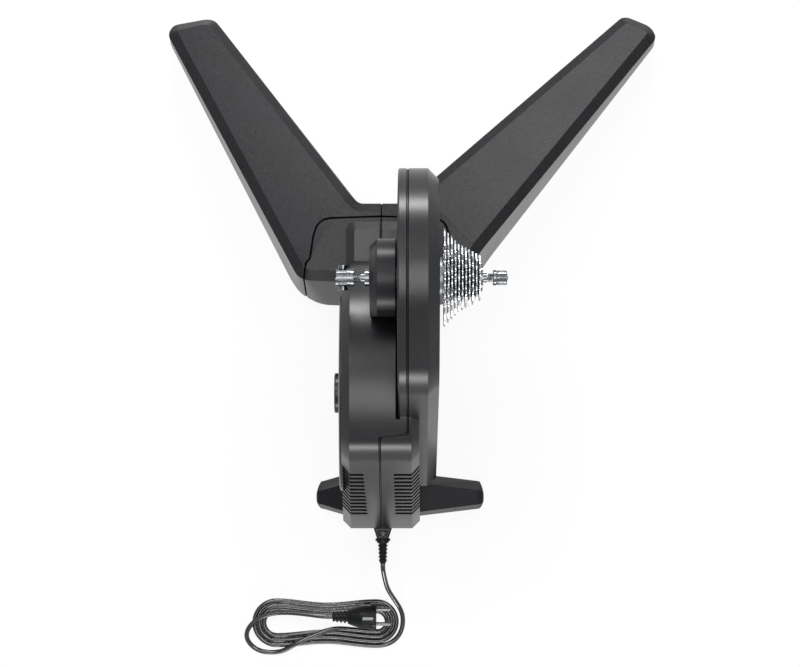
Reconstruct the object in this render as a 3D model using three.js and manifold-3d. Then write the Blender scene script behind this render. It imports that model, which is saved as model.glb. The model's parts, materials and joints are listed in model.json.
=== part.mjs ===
import * as THREE from "three";
import { mergeVertices } from "three/addons/utils/BufferGeometryUtils.js";
import Module from "manifold-3d";

// Direct drive bike trainer, in millimetres.
// X runs to the drive side, Y to the front of the bike and Z up.
// X 0 is the plane where the housing halves meet, Y 0 the wheel axle and Z 0 the floor.
// At the end the whole group moves so that the origin is the middle of the base on the floor.

// Shared fits
const fitGap = 0.3;
const halfGap = fitGap / 2;
const runGap = 0.4;
const overrun = 2;
const lap = 1;
const wall = 3;
const weldTolerance = 1e-5;

// Axle
const axleHeight = 340;
const overLocknut = 130;
const leftFace = -13;
const rightFace = leftFace + overLocknut;
const axleRadius = 9.5;
const skewerBore = 3;
const locknutRadius = 9.5;
const stubRadius = 5.2;
const stubLength = 4.2;
const bearingRadius = 17;
const lockringReach = 9;

// Drum that holds the flywheel
const drumBack = 133;
const drumHeight = 178;
const drumRadius = 159;
const drumHalfWidth = 46.5;
const drumChamfer = 8.5;
const drumSteps = 32;
const rearSlope = 66.6;
const rearCreaseAngle = 113.8;
const rearLength = 287;
const bodyBottom = 20;
const tailRun = 5;
const tailBottom = 24;

// Rear grille
const ventCount = 12;
const ventPitch = 13.9;
const ventHeight = 6.6;
const ventStart = 66;
const ventInner = 17;
const ventBack = 9;
const ventFront = 13;
const ventRound = 3;

// Belt casing
const casingRadius = 120;
const casingLeft = 24;
const casingRight = 68.3;
const casingChamfer = 12;
const casingEdge = 1.5;
const casingSteps = 26;
const casingTopSlope = 25;
const casingTopLength = 74.4;
const casingRearLength = 340.9;
const casingCornerLength = 25;
const cornerSlope = 53;
const casingToeBack = 50;
const casingToeHeight = 96;

// Split between the housing halves
const seamStep = 34.3;
const seamBack = 186;
const frontSeamBack = 60;
const frontSeamHeight = 235;

// Neck in front of the drum
const neckHalfWidth = 42.8;
const neckChamfer = 9.3;
const neckTop = 148;
const neckFront = 76.7;
const neckSlope = 6.7;
const neckNose = 7;

// Base and legs
const baseTop = 125;
const baseFront = 101;
const baseBottom = 12;
const baseRear = 24.7;
const rearDraft = 28;
const cornerDraft = 21;
const sideDraft = 17;
const frontDraft = 3;
const baseChamfer = 13;
const frontChamfer = 9.5;
const hubFlat = 56.5;
const hubBend = [82.7, 23.4];
const hubCorner = [108.9, 9];
const hubInnerFlat = 26.9;
const legReach = 353.4;
const tipTop = 49;
const tipSlope = 4;
const fallShares = [0, 0, 0, 0, 0, 0.95, 1];
const leftLeg = {
  side: -1,
  outerRoot: [119.4, 8.1],
  outerAngle: 27.3,
  outerShare: 1,
  innerRoot: [39.4, 111],
  innerAngle: 38,
  innerShare: 0.8398,
  nose: [8.7, 17],
  innerNose: [-11, 3],
};
const rightLeg = {
  side: 1,
  outerRoot: [129.2, 34.2],
  outerAngle: 38.75,
  outerShare: 1.0351,
  innerRoot: [46, 119.2],
  innerAngle: 48.86,
  innerShare: 0.9887,
  nose: [10.4, 18.5],
  innerNose: [-9, 1],
};

// Parting line between hub and legs, in plan from the middle of the front
const partFront = 80;
const partShoulder = [69.8, 77.6];
const partCorner = [79.5, 72];
const partBend = [84.7, 60.2];
const partSide = [88.4, 31.7];
const partJog = [93.4, 26.7];
const partRear = 103;

// Steel bars inside the legs
const beamWidth = 34;
const beamHeight = 20;
const beamBottom = 16;
const beamStart = [28, 52];
const beamOverhang = 14;
const beamClearance = 30;
const boltShank = 4;
const boltHead = 6.5;
const boltHeadHeight = 5.5;
const padInset = 6;
const padShare = 0.84;

// Main frame
const armLeft = -7.3;
const armRight = 21.9;
const armChamfer = 8.3;
const armEdge = 1;
const armHeadRadius = 43;
const armFootRadius = 30;
const armSteps = 14;
const webLeft = 4;
const webThickness = 10;
const webFront = 38;
const lugBottom = 62;
const lugTop = 100;
const lugBack = 60;
const lugFront = 75;
const flangeFront = 75;
const flangeRear = 34;
const flangeHalfWidth = 50;
const flangeThickness = 12;
const tailFlangeHalfWidth = 36;
const tailFlangeRear = 282;
const tailFlangeFront = 242;
const tailFlangeBottom = 28;
const tailFlangeThickness = 10;
const webWindow = 17;

// Drive train
const pulleyRadius = 100;
const pulleyLeft = 38;
const pulleyWidth = 22;
const pulleyWeb = 6;
const pulleyRim = 9;
const pulleyHubRadius = 23;
const pulleyHubReach = 4.2;
const pulleyHoles = 5;
const pulleyHoleRadius = 17;
const smallPulleyRadius = 15;
const smallPulleyLip = 2;
const lipWidth = 0.8;
const beltThickness = 4;
const beltSideGap = 1.2;
const rollerRadius = 14;
const rollerPin = 5;
const bracketThickness = 6;
const bracketRadius = 12;
const shaftRadius = 8.5;
const shaftLeft = -42.6;
const shaftBearingRadius = 16;
const collarRadius = 28;
const collarThickness = 2.4;

// Flywheel and brake
const flywheelRadius = 106;
const flywheelLeft = -42;
const flywheelThickness = 22;
const flywheelWeb = 10;
const flywheelRim = 30;
const flywheelHub = 22;
const yokeInner = 68;
const yokeOuter = 104;
const yokeThickness = 6.4;
const yokeStart = 92;
const yokeSweep = 276;
const coilCount = 7;
const coilRadius = 13;
const coilCore = 5.6;
const coilLength = 16;

// Freehub and cassette
const cogTeeth = [25, 23, 21, 19, 17, 16, 15, 14, 13, 12, 11];
const chainPitch = 12.7;
const cogFirst = 74.5;
const cogPitch = 3.87;
const cogThickness = 1.8;
const toothTip = 3.1;
const toothRoot = 3.8;
const tipShare = 0.12;
const rootShare = 0.3;
const splineCount = 9;
const freehubRadius = 17;
const splineDepth = 1.1;
const freehubBore = 13.2;
const freehubLeft = 62;
const freehubEnd = 112.6;
const spacerRing = 4;
const lockringRadius = 15;
const lockringBore = 10.5;
const lockringThickness = 1.8;
const pawlCount = 3;
const pawlLength = 9;
const pawlHeight = 2.7;
const pawlWidth = 6;

// Quick release
const rodRadius = 2.5;
const rodEnd = 1;
const rodBore = 2.9;
const barrelRadius = 10;
const barrelFlute = 0.8;
const barrelFlutes = 14;
const barrelLeft = -44.1;
const barrelRight = -29.3;
const washerRight = -24.9;
const pinAlong = -37;
const pinRadius = 3.6;
const forkInner = 10.6;
const forkThickness = 3;
const forkRadius = 5.2;
const leverReach = 58;
const leverBridge = 16;
const leverThickness = 5;
const leverHalfWidth = 9;
const springWire = 0.6;
const springTurns = 2.5;
const springInner = 4.1;
const springOuter = 5.1;
const nutLeft = 128;
const nutFlange = 8.5;
const nutFlangeWidth = 4;
const nutLength = 15.4;
const nutRadius = 8;
const nutSlots = 6;
const nutSlotDepth = 1.2;

// Rear foot
const footBack = 273.5;
const footLeft = -86.3;
const footRight = 130.8;
const footHalfDepth = 27.5;
const footEndHalfDepth = 18.3;
const footRound = 8;
const footTop = 45;
const footEndTop = 40;
const footEndEdge = 1;
const footBottom = 8;
const footSlope = 9;
const footRim = 4;
const footCavityStart = 55;
const footCavityEnd = 96;
const footPadLength = 26;
const footPadInset = 4;

// Left cover and its cap
const coverRadius = 134;
const coverDome = 4;
const coverEdge = 1;
const capRadius = 24;
const capRise = 5;

// Electronics
const boardLeft = 20;
const boardThickness = 1.6;
const boardRear = 240;
const boardFront = 182;
const boardBottom = 62;
const boardTop = 122;
const boardPost = 3;
const boardInset = 7;
const inletHalfWidth = 14.5;
const inletMiddle = 41;
const inletHalfHeight = 10.5;
const inletDepth = 27;
const inletRear = 311;
const socketHalfWidth = 12.3;
const socketHalfHeight = 8.3;
const socketDepth = 17;

// Cord, connector and plug
const cordRadius = 3.1;
const cordSides = 8;
const leadSteps = 28;
const tailSteps = 36;
const connectorNose = 297;
const connectorRear = 326.8;
const connectorHalfWidth = 11.8;
const connectorNeck = 7.4;
const connectorHalfHeight = 8;
const connectorCollar = 9.7;
const connectorCollarDepth = 3;
const reliefStart = 332;
const reliefEnd = 358.7;
const reliefRadius = 6.4;
const reliefEndRadius = 5;
const reliefRibs = 6;
const reliefGroove = 1;
const loopMiddle = [-75, -442];
const loopStraight = 132;
const loopRadius = 31.5;
const loopWaist = 5.5;
const loopPitch = 6.8;
const loopCount = 3;
const loopSteps = 24;
const loopSides = 6;
const arcSteps = 8;
const plugRight = -9;
const plugSide = -431;
const plugHeight = 25;
const plugFace = 18.3;
const plugFaceDepth = 4;
const plugBodyLength = 29;
const plugNeck = 9;
const plugReliefLength = 24;
const plugReliefRadius = 6.2;
const plugReliefEnd = 5;
const plugPinRadius = 2.4;
const plugPinLength = 19;
const plugPinSpacing = 19;

// Route of the cord from the connector to the loops, laid on the floor by hand
const leadRoute = [
  [1, -373, 36.5], [3, -384, 30], [6, -395, 22.5], [11, -405, 15.5], [17, -415, 9.5],
  [22, -424, 5.5], [25, -433, 3.6], [25.5, -443, 3.1], [23.5, -453, 3.1], [18, -462.5, 3.1],
  [9, -469.5, 3.1],
];

// Route of the last strand, which lies over the loops and ends at the plug
const tailRoute = [
  [-56, -449.7, 5], [-68, -450.6, 8.5], [-79, -453.2, 10.1], [-89, -457.5, 10.1],
  [-99, -461.5, 10.1], [-111, -467, 10.1], [-121, -473, 9.7], [-134, -480, 5.5],
  [-148, -482, 3.2], [-163, -480, 3.1], [-174, -473, 3.3], [-180, -463, 6],
  [-179, -452, 9.6], [-172, -442, 10.1], [-162, -435, 10.3], [-151, -430.5, 11.2],
  [-137, -428, 13], [-119, -427.5, 16.5], [-101, -428.5, 20.5], [-86, -430, 23.6],
];

const wasm = await Module();
wasm.setup();

const degrees = THREE.MathUtils.degToRad;

// Outline helpers, on points [u, v]

function polar(centre, radius, angle) {
  return [
    centre[0] + radius * Math.cos(degrees(angle)),
    centre[1] + radius * Math.sin(degrees(angle)),
  ];
}

function arc(centre, radius, start, end, steps) {
  const points = [];
  for (let i = 0; i <= steps; i += 1) {
    points.push(polar(centre, radius, start + ((end - start) * i) / steps));
  }
  return points;
}

function circle(centre, radius, sides) {
  return arc(centre, radius, 0, 360 - 360 / sides, sides - 1);
}

function between(a, b, share) {
  return [a[0] + (b[0] - a[0]) * share, a[1] + (b[1] - a[1]) * share];
}

function signedArea(points) {
  let sum = 0;
  points.forEach((p, i) => {
    const q = points[(i + 1) % points.length];
    sum += p[0] * q[1] - q[0] * p[1];
  });
  return sum / 2;
}

// Moves each edge of a closed outline inwards by its own distance
function inset(points, distances) {
  const turn = Math.sign(signedArea(points));
  const count = points.length;
  const distanceOf = (i) => (Array.isArray(distances) ? distances[i] : distances);
  const normalOf = (i) => {
    const p = points[i];
    const q = points[(i + 1) % count];
    const length = Math.hypot(q[0] - p[0], q[1] - p[1]);
    return [(-turn * (q[1] - p[1])) / length, (turn * (q[0] - p[0])) / length];
  };
  return points.map((p, i) => {
    const before = (i + count - 1) % count;
    const n = normalOf(before);
    const m = normalOf(i);
    const cross = n[0] * m[1] - n[1] * m[0];
    const d = distanceOf(before);
    const e = distanceOf(i);
    if (Math.abs(cross) < weldTolerance) {
      return [p[0] + m[0] * e, p[1] + m[1] * e];
    }
    return [p[0] + (d * m[1] - e * n[1]) / cross, p[1] + (e * n[0] - d * m[0]) / cross];
  });
}

// Outline round two circles, as a straight belt would lie
function hull(a, radiusA, b, radiusB, stepsA, stepsB) {
  const span = Math.hypot(b[0] - a[0], b[1] - a[1]);
  const heading = THREE.MathUtils.radToDeg(Math.atan2(b[1] - a[1], b[0] - a[0]));
  const lean = THREE.MathUtils.radToDeg(Math.acos((radiusA - radiusB) / span));
  return [
    ...arc(a, radiusA, heading + lean, heading + 360 - lean, stepsA),
    ...arc(b, radiusB, heading - lean, heading + lean, stepsB),
  ];
}

// Solid helpers

function weld(geometry) {
  const bare = geometry.clone();
  bare.deleteAttribute("normal");
  bare.deleteAttribute("uv");
  const merged = mergeVertices(bare, weldTolerance);
  const places = merged.attributes.position;
  const source = merged.index.array;
  const faces = [];
  let volume = 0;
  const corners = [new THREE.Vector3(), new THREE.Vector3(), new THREE.Vector3()];
  for (let i = 0; i < source.length; i += 3) {
    const [a, b, c] = [source[i], source[i + 1], source[i + 2]];
    if (a !== b && b !== c && c !== a) {
      faces.push(a, b, c);
      corners.forEach((corner, k) => corner.fromBufferAttribute(places, source[i + k]));
      volume += corners[0].dot(corners[1].clone().cross(corners[2]));
    }
  }
  if (volume < 0) {
    faces.reverse();
  }
  merged.setIndex(faces);
  return merged;
}

function solidOf(geometry) {
  const welded = weld(geometry);
  const vertProperties = new Float32Array(welded.attributes.position.array);
  const triVerts = new Uint32Array(welded.index.array);
  return new wasm.Manifold(new wasm.Mesh({ numProp: 3, vertProperties, triVerts }));
}

function geometryOf(solid) {
  const mesh = solid.getMesh();
  const geometry = new THREE.BufferGeometry();
  geometry.setAttribute("position", new THREE.BufferAttribute(mesh.vertProperties, 3));
  geometry.setIndex(new THREE.BufferAttribute(mesh.triVerts, 1));
  geometry.computeVertexNormals();
  return geometry;
}

function join(solids) {
  return solids.reduce((whole, piece) => whole.add(piece));
}

// Skin over a row of rings with as many points each, closed at both ends
function loft(rings) {
  const count = rings[0].length;
  const places = rings.flat().flatMap((p) => [p.x, p.y, p.z]);
  const faces = [];
  for (let r = 0; r + 1 < rings.length; r += 1) {
    for (let k = 0; k < count; k += 1) {
      const a = r * count + k;
      const b = r * count + ((k + 1) % count);
      faces.push(a, b, b + count, a, b + count, a + count);
    }
  }
  const last = (rings.length - 1) * count;
  capFaces(rings[0]).forEach(([i, j, k]) => faces.push(k, j, i));
  capFaces(rings[rings.length - 1]).forEach(([i, j, k]) => faces.push(last + i, last + j, last + k));
  const geometry = new THREE.BufferGeometry();
  geometry.setAttribute("position", new THREE.Float32BufferAttribute(places, 3));
  geometry.setIndex(faces);
  return solidOf(geometry);
}

// Triangles over a ring, seen along its own normal
function capFaces(ring) {
  const normal = new THREE.Vector3();
  ring.forEach((p, i) => normal.add(p.clone().cross(ring[(i + 1) % ring.length])));
  normal.normalize();
  const guide = Math.abs(normal.z) > Math.SQRT1_2 ? new THREE.Vector3(1, 0, 0) : new THREE.Vector3(0, 0, 1);
  const across = guide.cross(normal).normalize();
  const up = normal.clone().cross(across);
  const flat = ring.map((p) => new THREE.Vector2(p.dot(across), p.dot(up)));
  return THREE.ShapeUtils.triangulateShape(flat, []);
}

const placeOn = {
  x: (at, [u, v]) => new THREE.Vector3(at, u, v),
  y: (at, [u, v]) => new THREE.Vector3(v, at, u),
  z: (at, [u, v]) => new THREE.Vector3(u, v, at),
};

// Straight solid of an outline between two places on an axis
function prism(axis, outline, start, end) {
  return loft([start, end].map((at) => outline.map((p) => placeOn[axis](at, p))));
}

function rod(axis, centre, radius, start, end, sides) {
  return prism(axis, circle(centre, radius, sides), start, end);
}

function tube(axis, centre, outer, inner, start, end, sides) {
  const whole = rod(axis, centre, outer, start, end, sides);
  return whole.subtract(rod(axis, centre, inner, start - overrun, end + overrun, sides));
}

// Solid across X whose edges are chamfered at both sides
function slab(outline, left, right, leftChamfer, rightChamfer) {
  const stations = [
    [left, leftChamfer],
    [left + leftChamfer, 0],
    [right - rightChamfer, 0],
    [right, rightChamfer],
  ];
  return loft(stations.map(([x, d]) => inset(outline, d).map((p) => placeOn.x(x, p))));
}

// Turned solid about a line along X, from pairs [radius, x]
function turned(centre, profile, sides) {
  const points = profile.map(([radius, x]) => new THREE.Vector2(radius, x));
  const geometry = new THREE.LatheGeometry(points, sides);
  geometry.rotateZ(-Math.PI / 2);
  geometry.translate(0, centre[0], centre[1]);
  return solidOf(geometry);
}

function box(low, high) {
  const size = high.map((value, i) => value - low[i]);
  const geometry = new THREE.BoxGeometry(...size);
  geometry.translate(...low.map((value, i) => value + size[i] / 2));
  return solidOf(geometry);
}

// Unbroken tube through points, with rings square to the path
function wound(points, radius, sides) {
  const up = new THREE.Vector3(0, 0, 1);
  const rings = points.map((p, i) => {
    const ahead = points[Math.min(i + 1, points.length - 1)];
    const behind = points[Math.max(i - 1, 0)];
    const along = ahead.clone().sub(behind).normalize();
    const across = along.clone().cross(up).normalize();
    const over = across.clone().cross(along);
    return circle([0, 0], radius, sides).map(([u, v]) => (
      p.clone().addScaledVector(across, u).addScaledVector(over, v)
    ));
  });
  return loft(rings);
}

// Tube along a free stretch of cord
function swept(route, radius, steps) {
  const curve = new THREE.CatmullRomCurve3(route.map((p) => new THREE.Vector3(...p)), false, "centripetal");
  const section = new THREE.Shape(circle([0, 0], radius, cordSides).map((p) => new THREE.Vector2(...p)));
  const geometry = new THREE.ExtrudeGeometry(section, { steps, bevelEnabled: false, extrudePath: curve });
  return { solid: solidOf(geometry), curve };
}

const trainer = new THREE.Group();

const finishes = {
  charcoalPlastic: { color: 0x505255, roughness: 0.75, metalness: 0 },
  satinPlastic: { color: 0x46484b, roughness: 0.5, metalness: 0 },
  blackPlastic: { color: 0x1d1e20, roughness: 0.5, metalness: 0 },
  rubber: { color: 0x19191b, roughness: 0.9, metalness: 0 },
  belt: { color: 0x222224, roughness: 0.8, metalness: 0 },
  aluminium: { color: 0xb3b5b8, roughness: 0.45, metalness: 0.9 },
  steel: { color: 0x8d9094, roughness: 0.4, metalness: 0.9 },
  nickel: { color: 0xc6c9cc, roughness: 0.25, metalness: 1 },
  castIron: { color: 0x55585c, roughness: 0.55, metalness: 0.8 },
  copper: { color: 0xb0683a, roughness: 0.45, metalness: 0.9 },
  board: { color: 0x1f6b3d, roughness: 0.6, metalness: 0 },
};

function add(name, solid, finish) {
  const mesh = new THREE.Mesh(geometryOf(solid), new THREE.MeshStandardMaterial(finishes[finish]));
  mesh.name = name;
  trainer.add(mesh);
  return solid;
}

const axle = [0, axleHeight];
const drum = [-drumBack, drumHeight];

// Housing forms

function drumOutline() {
  const startAngle = THREE.MathUtils.radToDeg(Math.asin((bodyBottom - drumHeight) / drumRadius));
  const crease = polar(drum, drumRadius, rearCreaseAngle);
  const rearLow = polar(crease, rearLength, 180 + rearSlope);
  return [
    ...arc(drum, drumRadius, startAngle, rearCreaseAngle, drumSteps),
    rearLow,
    [rearLow[0] + tailRun, tailBottom],
  ];
}

function casingOutline() {
  const toe = [-casingToeBack, casingToeHeight];
  const reach = Math.hypot(toe[0], toe[1] - axleHeight);
  const down = THREE.MathUtils.radToDeg(Math.atan2(toe[1] - axleHeight, toe[0]));
  const frontAngle = down + THREE.MathUtils.radToDeg(Math.acos(casingRadius / reach));
  const topAngle = 90 + casingTopSlope;
  const topEnd = polar(axle, casingRadius, topAngle);
  const crease = polar(topEnd, casingTopLength, 180 + casingTopSlope);
  const rearLow = polar(crease, casingRearLength, 180 + rearSlope);
  return [
    ...arc(axle, casingRadius, frontAngle, topAngle, casingSteps),
    crease,
    rearLow,
    polar(rearLow, casingCornerLength, -cornerSlope),
    toe,
  ];
}

function drumForm(depth) {
  const half = drumHalfWidth - depth;
  return slab(inset(drumOutline(), depth), -half, half, drumChamfer, drumChamfer);
}

function casingForm(depth) {
  const chamfer = casingChamfer;
  return slab(inset(casingOutline(), depth), casingLeft + depth, casingRight - depth, casingEdge, chamfer);
}

function neckForm(depth) {
  const low = baseTop + fitGap;
  const rear = drum[0] + drumRadius - lugBack;
  const outline = [
    [rear, low],
    [neckFront, low],
    [neckFront, neckTop - neckNose],
    [neckFront - neckSlope, neckTop],
    [rear, neckTop],
  ];
  const distances = [depth, depth, depth, depth, 0];
  const half = neckHalfWidth - depth;
  return slab(inset(outline, distances), -half, half, neckChamfer, neckChamfer);
}

function housingForm(depth) {
  return join([drumForm(depth), casingForm(depth), neckForm(depth)]);
}

// Right of this boundary lies the outer casing half
function rightRegion(grow) {
  const far = casingRight + drumRadius;
  const floor = -overrun;
  const sky = axleHeight + casingRadius + overrun;
  const rear = -(drumBack + drumRadius + casingRadius);
  return join([
    box([seamStep - grow, rear, floor], [far, casingRadius + overrun, sky]),
    box([-grow, rear, floor], [far, -seamBack + grow, sky]),
    box([-grow, -frontSeamBack - grow, floor], [far, casingRadius, frontSeamHeight + grow]),
  ]);
}

// Main frame: the arm that carries the axle, a web and the two bolting flanges

function armForm(grow) {
  const outline = inset(hull(drum, armFootRadius, axle, armHeadRadius, armSteps / 2, armSteps), -grow);
  return slab(outline, armLeft - grow, armRight + grow, armChamfer, armEdge);
}

function lugForm(grow) {
  const low = [webLeft - grow, -lugBack, lugBottom - grow];
  return box(low, [webLeft + webThickness + grow, lugFront, lugTop + grow]);
}

const flangeBottom = beamBottom + beamHeight + fitGap;

const webOutline = [
  [-webFront, lugBottom],
  [-webFront, lugTop],
  [drum[0] + armFootRadius, drumHeight],
  [drum[0] - armFootRadius, drumHeight + armFootRadius],
  [-tailFlangeRear + boardInset, boardTop - boardPost],
  [-tailFlangeRear, tailFlangeBottom],
  [-tailFlangeFront, tailFlangeBottom],
  [drum[0] - armFootRadius, lugBottom - boardInset],
];

const beams = [leftLeg, rightLeg].map((leg) => {
  const tip = between(legTip(leg)[0], legTip(leg)[1], 1 / 2);
  const start = [leg.side * beamStart[0], beamStart[1]];
  const length = Math.hypot(tip[0] - start[0], tip[1] - start[1]);
  const way = [(tip[0] - start[0]) / length, (tip[1] - start[1]) / length];
  return { leg, start, way, length };
});

function onBeam(beam, along, across) {
  return [
    beam.start[0] + beam.way[0] * along + beam.way[1] * across,
    beam.start[1] + beam.way[1] * along - beam.way[0] * across,
  ];
}

const legBoltPlaces = beams.map((beam) => beam.start);
const footBoltPlace = [0, -(tailFlangeRear + tailFlangeFront) / 2];
const boardPlaces = [-boardRear + boardInset, -boardFront - boardInset].flatMap((y) => (
  [boardBottom + boardInset, boardTop - boardInset].map((z) => [y, z])
));

function mainFrame() {
  const webRight = webLeft + webThickness;
  const boltTop = flangeBottom + flangeThickness - overrun;
  const tailTop = tailFlangeBottom + tailFlangeThickness;
  const solid = join([
    armForm(0),
    lugForm(0),
    prism("x", webOutline, webLeft, webRight),
    box([webLeft, flangeRear, flangeBottom], [webRight, lugFront, lugBottom + overrun]),
    box(
      [-flangeHalfWidth, flangeRear, flangeBottom],
      [flangeHalfWidth, flangeFront, flangeBottom + flangeThickness],
    ),
    box(
      [-tailFlangeHalfWidth, -tailFlangeRear, tailFlangeBottom],
      [tailFlangeHalfWidth, -tailFlangeFront, tailTop],
    ),
    ...boardPlaces.map((p) => rod("x", p, boardPost, webRight - overrun, boardLeft - fitGap, 6)),
  ]);
  const cuts = [
    rod("x", axle, axleRadius + fitGap, armLeft - overrun, armRight + overrun, 20),
    rod("x", drum, shaftBearingRadius + fitGap, armLeft - overrun, armRight + overrun, 20),
    ...legBoltPlaces.map((p) => rod("z", p, boltShank + fitGap, flangeBottom - overrun, boltTop, 8)),
    rod("z", footBoltPlace, boltShank + fitGap, tailFlangeBottom - overrun, tailTop + overrun, 8),
    ...[-lugBack - webWindow, drum[0]].map((y) => (
      rod("x", [y, lugTop - 2 * overrun], webWindow, webLeft - overrun, webRight + overrun, 12)
    )),
  ];
  return solid.subtract(join(cuts));
}

// Base and legs

// Outer and inner contour of a half base at the floor, from the middle to the tip
function legContour(leg) {
  const s = leg.side;
  const out = ([x, y]) => [s * x, y];
  const heading = (angle, length) => polar([0, 0], length, 90 - angle);
  const root = leg.outerRoot;
  const run = heading(leg.outerAngle, legReach * leg.outerShare);
  const tip = [root[0] + run[0], root[1] + run[1]];
  const innerRun = heading(leg.innerAngle, legReach * leg.innerShare);
  const innerTip = [leg.innerRoot[0] + innerRun[0], leg.innerRoot[1] + innerRun[1]];
  const outer = [
    [0, -baseRear],
    [hubFlat, -baseRear],
    [hubBend[0], -hubBend[1]],
    [hubCorner[0], -hubCorner[1]],
    root,
    tip,
    [tip[0] - leg.nose[0], tip[1] + leg.nose[1]],
  ];
  const start = [hubInnerFlat, baseFront];
  const inner = [
    [0, baseFront],
    start,
    between(start, leg.innerRoot, 1 / 4),
    between(start, leg.innerRoot, 2 / 3),
    leg.innerRoot,
    innerTip,
    [innerTip[0] - leg.innerNose[0], innerTip[1] + leg.innerNose[1]],
  ];
  return { outer: outer.map(out), inner: inner.map(out) };
}

function legTip(leg) {
  const { outer, inner } = legContour(leg);
  return [outer[outer.length - 1], inner[inner.length - 1]];
}

// Half base as a skin from the middle plane to the tip of the leg
function legForm(leg, depth, middle) {
  const { outer, inner } = legContour(leg);
  const loop = [...outer, ...inner.slice().reverse()];
  const tipEdge = outer.length - 2;
  const rows = (rear, corner, side, tip, front) => {
    const distances = loop.map((p, i) => {
      if (i === loop.length - 1) return middle;
      if (i < 2) return rear + depth;
      if (i < 3) return corner + depth;
      if (i < tipEdge) return side + depth;
      return (i <= tipEdge + 2 ? tip : front) + depth;
    });
    return inset(loop, distances);
  };
  const foot = rows(0, 0, 0, 0, 0);
  const shoulder = rows(rearDraft, cornerDraft, sideDraft, tipSlope, frontDraft);
  const top = rows(
    rearDraft + baseChamfer,
    cornerDraft + baseChamfer,
    sideDraft + baseChamfer,
    tipSlope + frontChamfer,
    frontDraft + frontChamfer,
  );
  const low = depth > 0 ? baseBottom - overrun : baseBottom;
  const rings = outer.map((p, i) => {
    const height = baseTop - (baseTop - tipTop) * fallShares[i] - depth;
    const rise = (height - baseChamfer - baseBottom) / (baseTop - baseChamfer - baseBottom);
    const column = (k) => {
      const side = between(foot[k], shoulder[k], rise);
      return [
        new THREE.Vector3(...foot[k], low),
        new THREE.Vector3(...side, height - baseChamfer),
        new THREE.Vector3(side[0] + top[k][0] - shoulder[k][0], side[1] + top[k][1] - shoulder[k][1], height),
      ];
    };
    return [...column(i), ...column(loop.length - 1 - i).reverse()];
  });
  return loft(rings);
}

// Plan of the hub inside the parting line, grown sideways by a distance
function partRegion(side, grow) {
  const far = baseRear + overrun;
  const outline = [
    [-overrun, -far],
    [-overrun, partFront],
    partShoulder,
    partCorner,
    partBend,
    partSide,
    partJog,
    [partRear, -far],
  ];
  const grown = inset(outline, -grow).map(([x, y]) => [side * x, y]);
  return prism("z", grown, 0, baseTop + overrun);
}

function baseHalf(leg) {
  const skin = legForm(leg, 0, halfGap).subtract(legForm(leg, wall, -overrun));
  const body = join([drumForm(-fitGap), lugForm(fitGap)]);
  return {
    hub: skin.intersect(partRegion(leg.side, -halfGap)).subtract(body),
    leg: skin.subtract(partRegion(leg.side, halfGap)).subtract(body),
  };
}

function beamSolid(beam) {
  const ends = [-beamOverhang, beam.length - beamClearance];
  const half = beamWidth / 2;
  const outline = [
    onBeam(beam, ends[0], -half),
    onBeam(beam, ends[1], -half),
    onBeam(beam, ends[1], half),
    onBeam(beam, ends[0], half),
  ];
  const hole = rod("z", beam.start, boltShank + fitGap, beamBottom - overrun, flangeBottom, 8);
  return prism("z", outline, beamBottom, beamBottom + beamHeight).subtract(hole);
}

function legPad(leg) {
  const { outer, inner } = legContour(leg);
  const last = outer.length - 1;
  const outline = [
    between(outer[last - 2], outer[last - 1], padShare),
    outer[last - 1],
    outer[last],
    inner[last],
    inner[last - 1],
    between(inner[last - 2], inner[last - 1], padShare),
  ];
  return prism("z", inset(outline, padInset), 0, beamBottom - fitGap);
}

function bolt(place, seat, top) {
  return rod("z", place, boltHead, seat - boltHeadHeight, seat, 6).add(
    rod("z", place, boltShank, seat - lap, top, 8),
  );
}

const leftBase = baseHalf(leftLeg);
const rightBase = baseHalf(rightLeg);
add("hub_left", leftBase.hub, "charcoalPlastic");
add("hub_right", rightBase.hub, "charcoalPlastic");
add("leg_left", leftBase.leg, "charcoalPlastic");
add("leg_right", rightBase.leg, "charcoalPlastic");
add("leg_beam_left", beamSolid(beams[0]), "steel");
add("leg_beam_right", beamSolid(beams[1]), "steel");
add("leg_pad_left", legPad(leftLeg), "rubber");
add("leg_pad_right", legPad(rightLeg), "rubber");
const legBoltTop = flangeBottom + flangeThickness - overrun - fitGap;
add("leg_bolt_left", bolt(legBoltPlaces[0], beamBottom - fitGap, legBoltTop), "steel");
add("leg_bolt_right", bolt(legBoltPlaces[1], beamBottom - fitGap, legBoltTop), "steel");

// Rear foot

function footForm() {
  const station = (x, half, top) => {
    const side = [
      [-half, footBottom],
      [-half, footBottom + footRim],
      [-half + footSlope, top],
    ];
    const mirrored = side.map(([y, z]) => [-y, z]).reverse();
    return [...side, ...mirrored].map(([y, z]) => new THREE.Vector3(x, y - footBack, z));
  };
  const end = (x, way) => [
    station(x, footEndHalfDepth - footRound / 2, footEndTop - footRim),
    station(x + (way * footRound) / 4, footEndHalfDepth - footRound / 6, footEndTop - footEndEdge),
    station(x + way * footRound, footEndHalfDepth, footEndTop),
  ];
  return loft([
    ...end(footLeft, 1),
    station(-drumHalfWidth, footHalfDepth, footTop),
    station(drumHalfWidth, footHalfDepth, footTop),
    ...end(footRight, -1).reverse(),
  ]);
}

function footPad(start, end) {
  const half = footEndHalfDepth - footPadInset;
  return box([start, -footBack - half, 0], [end, -footBack + half, footBottom - fitGap]);
}

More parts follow.
